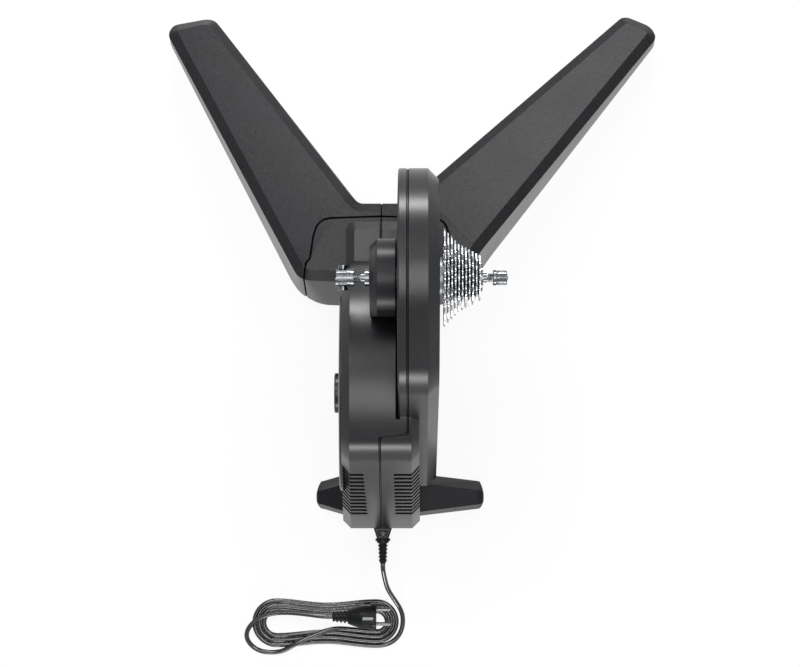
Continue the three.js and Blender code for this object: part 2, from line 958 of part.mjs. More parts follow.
const footSeat = footBottom - fitGap;
const footBoltTop = tailFlangeBottom + tailFlangeThickness;
const footCavityHalf = footHalfDepth - footSlope - footRim;
const footHole = rod("z", footBoltPlace, boltShank + fitGap, 0, footBoltTop, 8);
const footCavity = box(
  [footCavityStart, -footBack - footCavityHalf, 0],
  [footCavityEnd, -footBack + footCavityHalf, footEndTop - footRim],
);
add(
  "rear_foot",
  footForm().subtract(drumForm(-fitGap)).subtract(join([footHole, footCavity])),
  "charcoalPlastic",
);
const padLeft = footLeft + footPadInset;
const padRight = footRight - footPadInset;
add("rear_foot_pad_left", footPad(padLeft, padLeft + footPadLength), "rubber");
add("rear_foot_pad_right", footPad(padRight - footPadLength, padRight), "rubber");
add("rear_foot_bolt", bolt(footBoltPlace, footSeat, footBoltTop), "steel");

// Housing halves with the rear grille

function vents() {
  const slope = degrees(rearSlope);
  const low = polar(polar(drum, drumRadius, rearCreaseAngle), rearLength, 180 + rearSlope);
  const slots = [];
  for (let i = 0; i < ventCount; i += 1) {
    const run = ventStart + i * ventPitch;
    const y = low[0] + run * Math.cos(slope);
    const z = low[1] + run * Math.sin(slope);
    [-1, 1].forEach((side) => {
      const far = side * (drumHalfWidth + overrun);
      const plan = [
        [far, y - ventBack],
        [side * (ventInner + ventRound), y - ventBack],
        [side * ventInner, y - ventBack],
        [side * ventInner, y + ventFront],
        [far, y + ventFront],
      ];
      slots.push(prism("z", plan, z - ventHeight / 2, z + ventHeight / 2));
    });
  }
  return join(slots);
}

function inletBox(grow) {
  return box(
    [-inletHalfWidth - grow, -inletRear - grow, inletMiddle - inletHalfHeight - grow],
    [inletHalfWidth + grow, -inletRear + inletDepth + grow, inletMiddle + inletHalfHeight + grow],
  );
}

const shoulderRadius = axleRadius + wall;
const hubHole = pulleyHubRadius + 2 * runGap;
const collarSeat = casingRight + fitGap;
const housing = housingForm(0).subtract(housingForm(wall)).subtract(join([
  armForm(fitGap),
  lugForm(fitGap),
  rod("x", axle, shoulderRadius + runGap, casingLeft - overrun, casingLeft + wall + overrun, 24),
  rod("x", axle, hubHole, casingRight - wall - overrun, casingRight + overrun, 32),
  rod("x", drum, coverRadius - wall, -drumHalfWidth - overrun, -drumHalfWidth + wall + overrun, 48),
  inletBox(fitGap),
  vents(),
  footHole,
]));
add("housing_left", housing.subtract(rightRegion(halfGap)), "charcoalPlastic");
add("housing_right", housing.intersect(rightRegion(-halfGap)), "satinPlastic");
const coverSeat = -drumHalfWidth - fitGap;
add("side_cover", turned(drum, [
  [0, coverSeat - coverDome],
  [coverRadius / 2, coverSeat - coverDome + coverEdge / 2],
  [coverRadius - 2 * wall, coverSeat - coverDome + 2 * coverEdge],
  [coverRadius, coverSeat - coverEdge],
  [coverRadius, coverSeat],
  [coverRadius - 2 * wall, coverSeat],
  [coverRadius / 2, coverSeat - coverDome / 2 + coverEdge],
  [0, coverSeat - coverDome / 2 + coverEdge / 2],
], 32), "satinPlastic");
const capSeat = coverSeat - coverDome - fitGap;
add("cover_cap", turned(drum, [
  [0, capSeat],
  [capRadius, capSeat],
  [capRadius, capSeat - capRise + coverEdge],
  [capRadius - coverEdge, capSeat - capRise],
  [0, capSeat - capRise],
], 24), "blackPlastic");
add("casing_collar", tube(
  "x", axle, collarRadius, hubHole + fitGap, collarSeat, collarSeat + collarThickness, 24,
), "blackPlastic");

// Frame and axle

add("main_frame", mainFrame(), "aluminium");

const freehubSeat = pulleyLeft + pulleyWidth;
const hollowAxle = join([
  rod("x", axle, axleRadius, armLeft - fitGap, rightFace, 24),
  rod("x", axle, shoulderRadius, armRight + fitGap, pulleyLeft, 24),
  rod("x", axle, stubRadius, rightFace - lap, rightFace + stubLength, 16),
]);
const boreReach = stubLength + overrun;
const axleBore = rod("x", axle, skewerBore, leftFace - boreReach, rightFace + boreReach, 16);
add("hollow_axle", hollowAxle.subtract(axleBore), "nickel");
add("axle_locknut", join([
  rod("x", axle, locknutRadius, leftFace, armLeft - 2 * fitGap, 20),
  rod("x", axle, stubRadius, leftFace - stubLength, leftFace + lap, 16),
]).subtract(axleBore), "nickel");

function bearing(centre, outer, inner, start, end) {
  const groove = (outer - inner) / 3;
  const middle = (start + end) / 2;
  return turned(centre, [
    [inner, start],
    [outer, start],
    [outer, middle - groove / 2],
    [outer - groove / 2, middle],
    [outer, middle + groove / 2],
    [outer, end],
    [inner, end],
    [inner, start],
  ], 12);
}

const freehubBearing = freehubBore - runGap;
const lockringNeck = freehubEnd - lockringReach + overrun;
const axleFit = axleRadius + runGap;
add("pulley_bearing", bearing(
  axle, bearingRadius, axleFit, pulleyLeft + fitGap, freehubSeat - overrun,
), "steel");
add("freehub_bearing", bearing(
  axle, freehubBearing, axleFit, freehubLeft + overrun, lockringNeck - overrun,
), "steel");

// Drive pulley, belt and flywheel

const pulleyRight = pulleyLeft + pulleyWidth;
const webMiddle = pulleyLeft + pulleyWidth / 2;
const pulleyBore = bearingRadius + runGap;
const ratchetBore = pulleyHubRadius - wall + runGap;
const pulleyEnd = casingRight + pulleyHubReach;
const drivePulley = turned(axle, [
  [pulleyBore, pulleyLeft],
  [pulleyHubRadius, pulleyLeft],
  [pulleyHubRadius, webMiddle - pulleyWeb / 2],
  [pulleyRadius - pulleyRim, webMiddle - pulleyWeb / 2],
  [pulleyRadius - pulleyRim, pulleyLeft],
  [pulleyRadius, pulleyLeft],
  [pulleyRadius, pulleyRight],
  [pulleyRadius - pulleyRim, pulleyRight],
  [pulleyRadius - pulleyRim, webMiddle + pulleyWeb / 2],
  [pulleyHubRadius, webMiddle + pulleyWeb / 2],
  [pulleyHubRadius, pulleyEnd],
  [ratchetBore, pulleyEnd],
  [ratchetBore, freehubSeat],
  [pulleyBore, freehubSeat],
  [pulleyBore, pulleyLeft],
], 28);
const pulleyHolePlaces = circle(axle, (pulleyRadius - pulleyRim + pulleyHubRadius) / 2, pulleyHoles);
add("drive_pulley", drivePulley.subtract(join(pulleyHolePlaces.map((p) => (
  rod("x", p, pulleyHoleRadius, pulleyLeft, pulleyRight, 10)
)))), "aluminium");

const beltInside = hull(drum, smallPulleyRadius + runGap, axle, pulleyRadius + runGap, 8, 34);
const beltLeft = pulleyLeft + beltSideGap;
const beltRight = pulleyRight - beltSideGap;
add("drive_belt", prism("x", inset(beltInside, -beltThickness), beltLeft, beltRight).subtract(
  prism("x", beltInside, beltLeft - overrun, beltRight + overrun),
), "belt");

const lipRadius = smallPulleyRadius + smallPulleyLip;
add("flywheel_shaft", turned(drum, [
  [0, shaftLeft],
  [shaftRadius, shaftLeft],
  [shaftRadius, pulleyLeft],
  [lipRadius, pulleyLeft],
  [lipRadius, pulleyLeft + lipWidth],
  [smallPulleyRadius, pulleyLeft + lipWidth],
  [smallPulleyRadius, pulleyRight - lipWidth],
  [lipRadius, pulleyRight - lipWidth],
  [lipRadius, pulleyRight],
  [0, pulleyRight],
], 20), "steel");
const flywheelRight = flywheelLeft + flywheelThickness;
const flywheelDish = (flywheelThickness - flywheelWeb) / 2;
add("flywheel", turned(drum, [
  [shaftRadius + fitGap, flywheelLeft],
  [flywheelHub, flywheelLeft],
  [flywheelHub, flywheelLeft + flywheelDish],
  [flywheelRadius - flywheelRim, flywheelLeft + flywheelDish],
  [flywheelRadius - flywheelRim, flywheelLeft],
  [flywheelRadius, flywheelLeft],
  [flywheelRadius, flywheelRight],
  [flywheelRadius - flywheelRim, flywheelRight],
  [flywheelRadius - flywheelRim, flywheelRight - flywheelDish],
  [flywheelHub, flywheelRight - flywheelDish],
  [flywheelHub, flywheelRight],
  [shaftRadius + fitGap, flywheelRight],
  [shaftRadius + fitGap, flywheelLeft],
], 24), "castIron");
add("flywheel_bearing", bearing(
  drum, shaftBearingRadius, shaftRadius + runGap, armLeft + overrun / 2, armRight - overrun / 2,
), "steel");

// Belt tensioner on the rear run

const beltSpan = Math.hypot(axle[0] - drum[0], axle[1] - drum[1]);
const beltHeading = THREE.MathUtils.radToDeg(Math.atan2(axle[1] - drum[1], axle[0] - drum[0]));
const beltLean = THREE.MathUtils.radToDeg(Math.acos((smallPulleyRadius - pulleyRadius) / beltSpan));
const runOut = (pulleyRadius + smallPulleyRadius) / 2 + beltThickness + rollerRadius + 2 * runGap;
const rollerPlace = polar(between(drum, axle, 1 / 2), runOut, beltHeading + beltLean);
const bracketLeft = armRight + fitGap;
const bracketRight = bracketLeft + bracketThickness;
const bracketOutline = hull(drum, shaftRadius + bracketRadius, rollerPlace, bracketRadius, 10, 8);
add("tensioner_bracket", join([
  prism("x", bracketOutline, bracketLeft, bracketRight),
  rod("x", rollerPlace, rollerPin, bracketLeft, beltRight, 16),
]).subtract(
  rod("x", drum, shaftRadius + runGap, bracketLeft - overrun, bracketRight + overrun, 20),
), "steel");
add("tensioner_roller", tube(
  "x", rollerPlace, rollerRadius, rollerPin + runGap, bracketRight + overrun, beltRight, 24,
), "steel");

// Magnetic brake

const yokeRight = webLeft - fitGap;
const yokeLeft = yokeRight - yokeThickness;
const coilRing = (yokeInner + yokeOuter) / 2;
const coilPlaces = [];
for (let i = 0; i < coilCount; i += 1) {
  coilPlaces.push(polar(drum, coilRing, yokeStart + (yokeSweep * (i + 1 / 2)) / coilCount));
}
add("brake_yoke", join([
  prism("x", [
    ...arc(drum, yokeOuter, yokeStart, yokeStart + yokeSweep, 20),
    ...arc(drum, yokeInner, yokeStart + yokeSweep, yokeStart, 20),
  ], yokeLeft, yokeRight),
  ...coilPlaces.map((p) => tube("x", p, coilRadius, coilCore, yokeLeft - coilLength, yokeLeft + lap, 8)),
]), "castIron");

// Circuit board and mains inlet

const boardRight = boardLeft + boardThickness;
const chip = (y, z, depth, width, height) => (
  box([boardRight - boardThickness / 2, y, z], [boardRight + height, y + width, z + depth])
);
const boardThird = (boardRear - boardFront) / 3;
add("circuit_board", join([
  box([boardLeft, -boardRear, boardBottom], [boardRight, -boardFront, boardTop]),
  chip(-boardRear + boardInset, boardBottom + boardThird, boardThird, boardThird / 2, 2 * boardThickness),
  chip(-boardRear + boardThird, boardTop - boardThird, boardThird / 2, boardThird, 3 * boardThickness),
  chip(-boardFront - boardThird, boardBottom + boardInset, boardThird, boardThird / 2, 4 * boardThickness),
]), "board");
const socket = box(
  [-socketHalfWidth, -inletRear - overrun, inletMiddle - socketHalfHeight],
  [socketHalfWidth, -inletRear + socketDepth, inletMiddle + socketHalfHeight],
);
add("power_inlet", inletBox(0).subtract(socket), "blackPlastic");

// Freehub and cassette

function star(outer, inner, lobes) {
  const step = 180 / lobes;
  return circle(axle, outer, 2 * lobes).map((p, i) => (i % 2 === 0 ? p : polar(axle, inner, i * step)));
}

const freehub = join([
  rod("x", axle, freehubRadius, freehubLeft, cogFirst - cogThickness, 24),
  prism("x", star(freehubRadius, freehubRadius - splineDepth, splineCount), freehubLeft + lap, freehubEnd),
]).subtract(rod("x", axle, freehubBore, freehubLeft - overrun, freehubEnd + overrun, 20));

// Sprung pawls that stand out of the freehub's inner end
function pawl(index) {
  const start = freehubLeft + overrun;
  const solid = box(
    [start, -pawlLength / 2, freehubBore + lap],
    [start + pawlWidth, pawlLength / 2, freehubRadius + pawlHeight],
  );
  return solid.rotate([(index * 360) / pawlCount, 0, 0]).translate([0, ...axle]);
}

const pawls = Array.from({ length: pawlCount }, (unused, i) => pawl(i));
add("freehub_body", freehub.add(join(pawls)), "aluminium");

function cogOutline(teeth) {
  const pitchRadius = chainPitch / (2 * Math.sin(Math.PI / teeth));
  const step = 360 / teeth;
  const points = [];
  for (let i = 0; i < teeth; i += 1) {
    const middle = i * step;
    points.push(polar(axle, pitchRadius + toothTip, middle - step * tipShare));
    points.push(polar(axle, pitchRadius + toothTip, middle + step * tipShare));
    points.push(polar(axle, pitchRadius - toothRoot, middle + step * rootShare));
    points.push(polar(axle, pitchRadius - toothRoot, middle + step * (1 - rootShare)));
  }
  return points;
}

const cogBore = star(freehubRadius + fitGap, freehubRadius - splineDepth + fitGap, splineCount);
function rootRadius(teeth) {
  return chainPitch / (2 * Math.sin(Math.PI / teeth)) - toothRoot;
}

// Each cog carries the spacer that sets it off from the next smaller one
cogTeeth.forEach((teeth, i) => {
  const start = cogFirst + i * cogPitch - cogThickness / 2;
  const end = start + cogThickness;
  const next = cogTeeth[i + 1];
  const plate = prism("x", cogOutline(teeth), start, end);
  const spacerRadius = next && Math.min(freehubRadius + spacerRing, rootRadius(next) + lap);
  const spacer = next && rod("x", axle, spacerRadius, start, start + cogPitch - fitGap, 12);
  const solid = spacer ? plate.add(spacer) : plate;
  add(`cog_${teeth}t`, solid.subtract(prism("x", cogBore, start - overrun, start + cogPitch)), "nickel");
});

const cassetteEnd = cogFirst + (cogTeeth.length - 1) * cogPitch + cogThickness / 2 + fitGap;
add("cassette_lockring", join([
  rod("x", axle, lockringRadius, cassetteEnd, cassetteEnd + lockringThickness, 24),
  rod("x", axle, freehubBore - fitGap, lockringNeck, cassetteEnd + lap, 24),
]).subtract(
  rod("x", axle, lockringBore, lockringNeck - overrun, cassetteEnd + lockringThickness + overrun, 24),
), "nickel");

// Quick release

function coilSpring(start, end, startRadius, endRadius) {
  const steps = Math.round(springTurns * 8);
  const points = [];
  for (let i = 0; i <= steps; i += 1) {
    const share = i / steps;
    const x = start + (end - start) * share;
    const place = polar(axle, startRadius + (endRadius - startRadius) * share, share * springTurns * 360);
    points.push(new THREE.Vector3(x, ...place));
  }
  return wound(points, springWire, 5);
}

const pinPlace = [axleHeight, pinAlong];
const rodLeft = pinAlong + pinRadius + runGap;
const nutRight = nutLeft + nutLength;
add("skewer_rod", rod("x", axle, rodRadius, rodLeft, nutRight + rodEnd, 16), "nickel");
const flutes = circle(axle, barrelRadius, 2 * barrelFlutes).map((p, i) => (
  i % 2 === 0 ? p : polar(axle, barrelRadius - barrelFlute, (i * 180) / barrelFlutes)
));
add("qr_barrel", prism("x", flutes, barrelLeft, barrelRight).subtract(join([
  rod("x", axle, rodBore, pinAlong, barrelRight + overrun, 16),
  rod("y", pinPlace, pinRadius + runGap, -barrelRadius - overrun, barrelRadius + overrun, 16),
])), "nickel");
add("qr_washer", tube(
  "x", axle, barrelRadius, rodBore, barrelRight + fitGap, washerRight, 24,
), "nickel");

function qrLever() {
  const outer = forkInner + forkThickness;
  const low = axleHeight - leverBridge;
  const cheek = (start, end) => join([
    rod("y", pinPlace, forkRadius, start, end, 16),
    box([pinAlong - forkRadius, start, low - leverThickness], [pinAlong + forkRadius, end, axleHeight]),
  ]);
  const paddle = loft([
    [low - leverThickness / 2, leverHalfWidth, leverThickness],
    [axleHeight - leverReach * 3 / 4, leverHalfWidth * 3 / 4, leverThickness],
    [axleHeight - leverReach, leverHalfWidth * 5 / 8, leverThickness / 2],
  ].map(([z, half, thick]) => [
    new THREE.Vector3(pinAlong - thick, -half, z),
    new THREE.Vector3(pinAlong, -half, z),
    new THREE.Vector3(pinAlong, half, z),
    new THREE.Vector3(pinAlong - thick, half, z),
  ]));
  return join([
    cheek(-outer, -forkInner),
    cheek(forkInner, outer),
    box([pinAlong - forkRadius, -outer, low - leverThickness], [pinAlong + forkRadius, outer, low]),
    paddle,
  ]).subtract(rod("y", pinPlace, pinRadius + fitGap, -outer - overrun, outer + overrun, 16));
}

const pinHalf = forkInner + forkThickness + fitGap;
add("qr_lever", qrLever(), "nickel");
add("cam_pin", rod("y", pinPlace, pinRadius, -pinHalf, pinHalf, 16), "steel");
const springGap = springWire + fitGap;
add("skewer_spring_left", coilSpring(
  leftFace - stubLength - springGap, washerRight + springGap, springInner, springInner,
), "steel");
add("skewer_spring_right", coilSpring(
  rightFace + stubLength + springGap, nutLeft - springGap, springInner, springOuter,
), "steel");

function nut() {
  const slots = circle(axle, nutRadius, nutSlots).map((p) => (
    rod("x", p, nutSlotDepth, nutLeft + nutFlangeWidth, nutRight + overrun, 6)
  ));
  return join([
    rod("x", axle, nutFlange, nutLeft, nutLeft + nutFlangeWidth, 24),
    rod("x", axle, nutRadius, nutLeft + nutFlangeWidth / 2, nutRight, 24),
  ]).subtract(join([rod("x", axle, rodBore, nutLeft - overrun, nutRight + overrun, 16), ...slots]));
}

add("qr_nut", nut(), "nickel");

// Mains lead

function ribbed(axis, centre, start, end, startRadius, endRadius) {
  const stations = [];
  const step = (end - start) / (2 * reliefRibs);
  for (let i = 0; i < 2 * reliefRibs; i += 1) {
    const share = i / (2 * reliefRibs);
    const radius = startRadius + (endRadius - startRadius) * share - (i % 2) * reliefGroove;
    stations.push([start + i * step, radius], [start + (i + 1) * step, radius]);
  }
  return loft(stations.map(([at, radius]) => (
    circle(centre, radius, 8).map((p) => placeOn[axis](at, p))
  )));
}

function connector() {
  const section = (y, halfWidth, halfHeight) => {
    const corner = halfHeight / 3;
    return [
      [halfWidth, halfHeight - corner],
      [halfWidth - corner, halfHeight],
      [-halfWidth + corner, halfHeight],
      [-halfWidth, halfHeight - corner],
      [-halfWidth, -halfHeight + corner],
      [-halfWidth + corner, -halfHeight],
      [halfWidth - corner, -halfHeight],
      [halfWidth, -halfHeight + corner],
    ].map(([x, z]) => new THREE.Vector3(x, y, inletMiddle + z));
  };
  const body = loft([
    section(-connectorNose, connectorHalfWidth, connectorHalfHeight),
    section(-inletRear - overrun, connectorHalfWidth, connectorHalfHeight),
    section(-connectorRear, connectorNeck, connectorHalfHeight - reliefGroove),
    section(-reliefStart, connectorNeck, reliefRadius),
  ]);
  const collar = rod(
    "y", [inletMiddle, 0], connectorCollar, -connectorRear - connectorCollarDepth, -connectorRear, 16,
  );
  const relief = ribbed(
    "y", [inletMiddle, 0], -reliefStart + overrun, -reliefEnd, reliefRadius, reliefEndRadius,
  );
  return join([body, collar, relief]);
}

function loopPath() {
  const points = [];
  const half = loopStraight / 2;
  const straightSteps = loopSteps / 2 - arcSteps;
  for (let i = 0; i <= loopCount * loopSteps + 1; i += 1) {
    const radius = loopRadius - (loopPitch * i) / loopSteps;
    const side = Math.floor(i / (loopSteps / 2)) % 2 === 0 ? 1 : -1;
    const step = i % (loopSteps / 2);
    const onStraight = Math.min(step / straightSteps, 1);
    const turn = (Math.max(0, step - straightSteps) / arcSteps) * 180;
    const middle = [loopMiddle[0] + side * half * (1 - 2 * onStraight), loopMiddle[1]];
    const place = polar(middle, radius, -90 * side - turn);
    const outward = Math.min(Math.abs(place[0] - loopMiddle[0]) / half, 1);
    const drawnIn = (loopWaist * (1 + Math.cos(Math.PI * outward))) / 2;
    points.push(new THREE.Vector3(place[0], place[1] + side * drawnIn, cordRadius));
  }
  return points;
}

// Least distance between turns, measured on points half a turn or more apart
function leastSelfGap(points, radius) {
  let least = Infinity;
  points.forEach((p, i) => {
    for (let k = i + loopSteps / 2; k + 1 < points.length; k += 1) {
      const segment = new THREE.Line3(points[k], points[k + 1]);
      const nearest = segment.closestPointToPoint(p, true, new THREE.Vector3());
      least = Math.min(least, nearest.distanceTo(p) - 2 * radius);
    }
  });
  return least;
}

const loops = loopPath();
const loopIn = loops[1].clone().sub(loops[0]).normalize();
const loopOut = loops[loops.length - 1].clone().sub(loops[loops.length - 2]).normalize();
const cordDiameter = 2 * cordRadius;
const before = (distance) => loops[0].clone().addScaledVector(loopIn, -distance).toArray();
const after = (distance) => loops[loops.length - 1].clone().addScaledVector(loopOut, distance).toArray();
const plugLeft = plugRight - plugFaceDepth - plugBodyLength - plugReliefLength;
const lead = swept([
  [0, -reliefEnd - fitGap, inletMiddle],
  [0, -reliefEnd - cordDiameter, inletMiddle],
  ...leadRoute,
  before(cordDiameter),
  before(fitGap),
], cordRadius, leadSteps);
const tail = swept([
  after(fitGap),
  after(cordDiameter),
  ...tailRoute,
  [plugLeft - cordDiameter, plugSide, plugHeight],
  [plugLeft - fitGap, plugSide, plugHeight],
], cordRadius, tailSteps);
add("cord_connector", connector(), "blackPlastic");
add("cord_lead", lead.solid, "rubber");
add("cord_loops", wound(loops, cordRadius, loopSides), "rubber");
add("cord_tail", tail.solid, "rubber");

const plugCentre = [plugSide, plugHeight];
const plugBodyLeft = plugLeft + plugReliefLength;
const plugProfile = [
  [plugNeck, plugBodyLeft],
  [plugNeck + 2 * reliefGroove, plugBodyLeft + wall],
  [plugNeck + reliefGroove, plugBodyLeft + 2 * wall],
  [plugFace - 2 * reliefGroove, plugRight - plugFaceDepth - wall],
  [plugFace, plugRight - plugFaceDepth],
  [plugFace, plugRight - reliefGroove],
  [plugFace - reliefGroove, plugRight],
];
const plugBody = loft(plugProfile.map(([radius, x]) => (
  circle(plugCentre, radius, 18).map((p) => placeOn.x(x, p))
)));
const plugRelief = ribbed("x", plugCentre, plugLeft, plugBodyLeft + lap, plugReliefEnd, plugReliefRadius);
const plugPins = [-plugPinSpacing / 2, plugPinSpacing / 2].map((offset) => (
  rod("x", [plugSide + offset, plugHeight], plugPinRadius, plugRight - overrun, plugRight + plugPinLength, 10)
));
add("mains_plug", join([plugBody, plugRelief, ...plugPins]), "blackPlastic");

const loopLength = loops.slice(1).reduce((sum, p, i) => sum + p.distanceTo(loops[i]), 0);
const cordLength = lead.curve.getLength() + loopLength + tail.curve.getLength();
console.log(`least gap between the turns of the cord: ${leastSelfGap(loops, cordRadius).toFixed(2)} mm`);
console.log(`length of the cord: ${cordLength.toFixed(0)} mm`);

// Origin under the middle of the object, without the mains lead
const leadNames = ["cord_connector", "cord_lead", "cord_loops", "cord_tail", "mains_plug"];
const bounds = new THREE.Box3();
trainer.children.forEach((mesh) => {
  if (!leadNames.includes(mesh.name)) {
    bounds.expandByObject(mesh);
  }
});
const middle = bounds.getCenter(new THREE.Vector3());
trainer.children.forEach((mesh) => mesh.position.set(-middle.x, -middle.y, -bounds.min.z));
console.log(`origin shift: ${middle.x.toFixed(3)} ${middle.y.toFixed(3)} ${bounds.min.z.toFixed(3)} mm`);

export default trainer;
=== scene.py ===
import json
import math
import bmesh
import bpy
from mathutils import Matrix, Vector


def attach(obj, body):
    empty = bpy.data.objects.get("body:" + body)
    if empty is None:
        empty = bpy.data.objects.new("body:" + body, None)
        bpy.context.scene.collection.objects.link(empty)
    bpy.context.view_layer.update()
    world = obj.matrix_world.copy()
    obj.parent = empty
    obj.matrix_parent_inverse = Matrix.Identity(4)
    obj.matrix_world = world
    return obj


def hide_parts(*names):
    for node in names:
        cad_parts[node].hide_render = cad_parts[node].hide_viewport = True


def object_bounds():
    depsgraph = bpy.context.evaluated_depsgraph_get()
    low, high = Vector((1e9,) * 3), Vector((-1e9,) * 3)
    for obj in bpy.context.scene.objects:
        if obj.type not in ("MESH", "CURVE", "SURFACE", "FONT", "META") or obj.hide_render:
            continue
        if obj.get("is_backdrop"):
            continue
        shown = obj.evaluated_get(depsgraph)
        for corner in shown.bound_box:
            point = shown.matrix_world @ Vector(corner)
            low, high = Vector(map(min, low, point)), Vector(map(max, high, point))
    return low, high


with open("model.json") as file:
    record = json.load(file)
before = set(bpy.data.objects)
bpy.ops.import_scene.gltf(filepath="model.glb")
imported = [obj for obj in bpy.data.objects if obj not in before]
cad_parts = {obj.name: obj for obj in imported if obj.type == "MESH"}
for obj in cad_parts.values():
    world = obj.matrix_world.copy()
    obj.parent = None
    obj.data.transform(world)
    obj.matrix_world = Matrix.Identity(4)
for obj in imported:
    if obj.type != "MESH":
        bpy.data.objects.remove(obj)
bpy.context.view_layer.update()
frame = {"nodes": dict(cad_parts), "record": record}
cad = frame["nodes"]
print("frame loaded")

# Pieces are laid out in millimetres: X 0 where the drum's halves meet, Y 0 at the wheel axle, Z 0 on the
# floor. This turns them into the row's metres.
toRow = Matrix.Scale(0.001, 4) @ Matrix.Translation((-38.339, -19.465, 0.0))
axle = Vector((0, 0, 340))
drum = Vector((0, -133, 178))

# Camera: straight down from 2 m above the floor, as the trainer was photographed
photo = {"width": 800, "axisX": 418, "focal": 1535, "place": (0.00716, -0.08076, 2.029)}
cameraData = bpy.data.cameras.new("camera")
cameraData.sensor_width = 36
cameraData.lens = photo["focal"] / photo["width"] * 36
cameraData.shift_x = (photo["width"] / 2 - photo["axisX"]) / photo["width"]
cameraData.clip_end = 40
camera = bpy.data.objects.new("camera", cameraData)
camera.location = photo["place"]
bpy.context.scene.collection.objects.link(camera)
bpy.context.scene.camera = camera
print("camera set")


# Colours and materials

def linear(code):
    channels = [int(code[i:i + 2], 16) / 255 for i in (0, 2, 4)]
    return [c / 12.92 if c <= 0.04045 else ((c + 0.055) / 1.055) ** 2.4 for c in channels] + [1.0]


def addNode(tree, kind, settings=None, links=None):
    node = tree.nodes.new(kind)
    for key, value in (settings or {}).items():
        if key in node.inputs:
            node.inputs[key].default_value = value
        else:
            setattr(node, key, value)
    for key, source in (links or {}).items():
        tree.links.new(source, node.inputs[key])
    return node


def newMaterial(name):
    material = bpy.data.materials.new(name)
    material.use_nodes = True
    material.node_tree.nodes.clear()
    return material, material.node_tree


# Two colours of a look, mixed by a pattern
def mixColours(tree, look, pattern):
    colour = addNode(tree, "ShaderNodeMix", {"data_type": "RGBA"}, {0: pattern})
    colour.inputs[6].default_value = linear(look["dark"])
    colour.inputs[7].default_value = linear(look["light"])
    return colour.outputs[2]


def endMaterial(tree, settings, colour, roughness, normal):
    shader = addNode(tree, "ShaderNodeBsdfPrincipled", settings,
                     {"Base Color": colour, "Roughness": roughness, "Normal": normal})
    addNode(tree, "ShaderNodeOutputMaterial", None, {"Surface": shader.outputs[0]})


# sizes of the broad patches in millimetres
patches = {"nylon": 60, "metal": 9}


# Glass-filled nylon from a spark-eroded tool: a fine pebbled grain breaks the light up, with little gloss
def mouldedNylon(name, look):
    material, tree = newMaterial(name)
    place = addNode(tree, "ShaderNodeTexCoord").outputs["Object"]
    # the real grain is about 0.3 mm across and is drawn coarser, so that it shows at this distance
    fine = addNode(tree, "ShaderNodeTexNoise", {"Scale": 1000 / look["grain"], "Detail": 2.0},
                   {"Vector": place})
    broad = addNode(tree, "ShaderNodeTexNoise", {"Scale": 1000 / patches["nylon"], "Detail": 2.0},
                    {"Vector": place})
    speckle = addNode(tree, "ShaderNodeMapRange", {"From Min": 0.34, "From Max": 0.66},
                      {"Value": fine.outputs["Fac"]})
    tone = addNode(tree, "ShaderNodeMapRange",
                   {"From Min": 0.35, "From Max": 0.65, "To Min": -0.1, "To Max": 0.1},
                   {"Value": broad.outputs["Fac"]})
    both = addNode(tree, "ShaderNodeMath", {"operation": "ADD", "use_clamp": True},
                   {0: speckle.outputs["Result"], 1: tone.outputs["Result"]})
    dull = addNode(tree, "ShaderNodeMapRange",
                   {"To Min": look["roughness"] - 0.05, "To Max": look["roughness"] + 0.05},
                   {"Value": broad.outputs["Fac"]})
    # a moulded edge is never knife-sharp: its normal turns over about a millimetre and catches the light
    rounded = addNode(tree, "ShaderNodeBevel", {"samples": 4, "Radius": 0.0011})
    relief = addNode(tree, "ShaderNodeBump", {"Strength": look["bump"], "Distance": 0.0002},
                     {"Height": fine.outputs["Fac"], "Normal": rounded.outputs[0]})
    endMaterial(tree, {"Specular IOR Level": look["gloss"], "IOR": 1.5},
                mixColours(tree, look, both.outputs[0]), dull.outputs["Result"], relief.outputs[0])
    return material


# Plated or machined metal: the colour is in the reflection, broken by fine marks and slight dull patches
def bareMetal(name, look):
    material, tree = newMaterial(name)
    place = addNode(tree, "ShaderNodeTexCoord").outputs["Object"]
    lines = addNode(tree, "ShaderNodeTexNoise", {"Scale": 1000 / look["marks"], "Detail": 4.0},
                    {"Vector": place})
    broad = addNode(tree, "ShaderNodeTexNoise", {"Scale": 1000 / patches["metal"], "Detail": 2.0},
                    {"Vector": place})
    dull = addNode(tree, "ShaderNodeMapRange",
                   {"To Min": look["roughness"] * 0.6, "To Max": look["roughness"] * 1.4},
                   {"Value": broad.outputs["Fac"]})
    relief = addNode(tree, "ShaderNodeBump", {"Strength": look["bump"], "Distance": 0.00005},
                     {"Height": lines.outputs["Fac"]})
    endMaterial(tree, {"Metallic": 1.0}, mixColours(tree, look, lines.outputs["Fac"]), dull.outputs["Result"],
                relief.outputs[0])
    return material


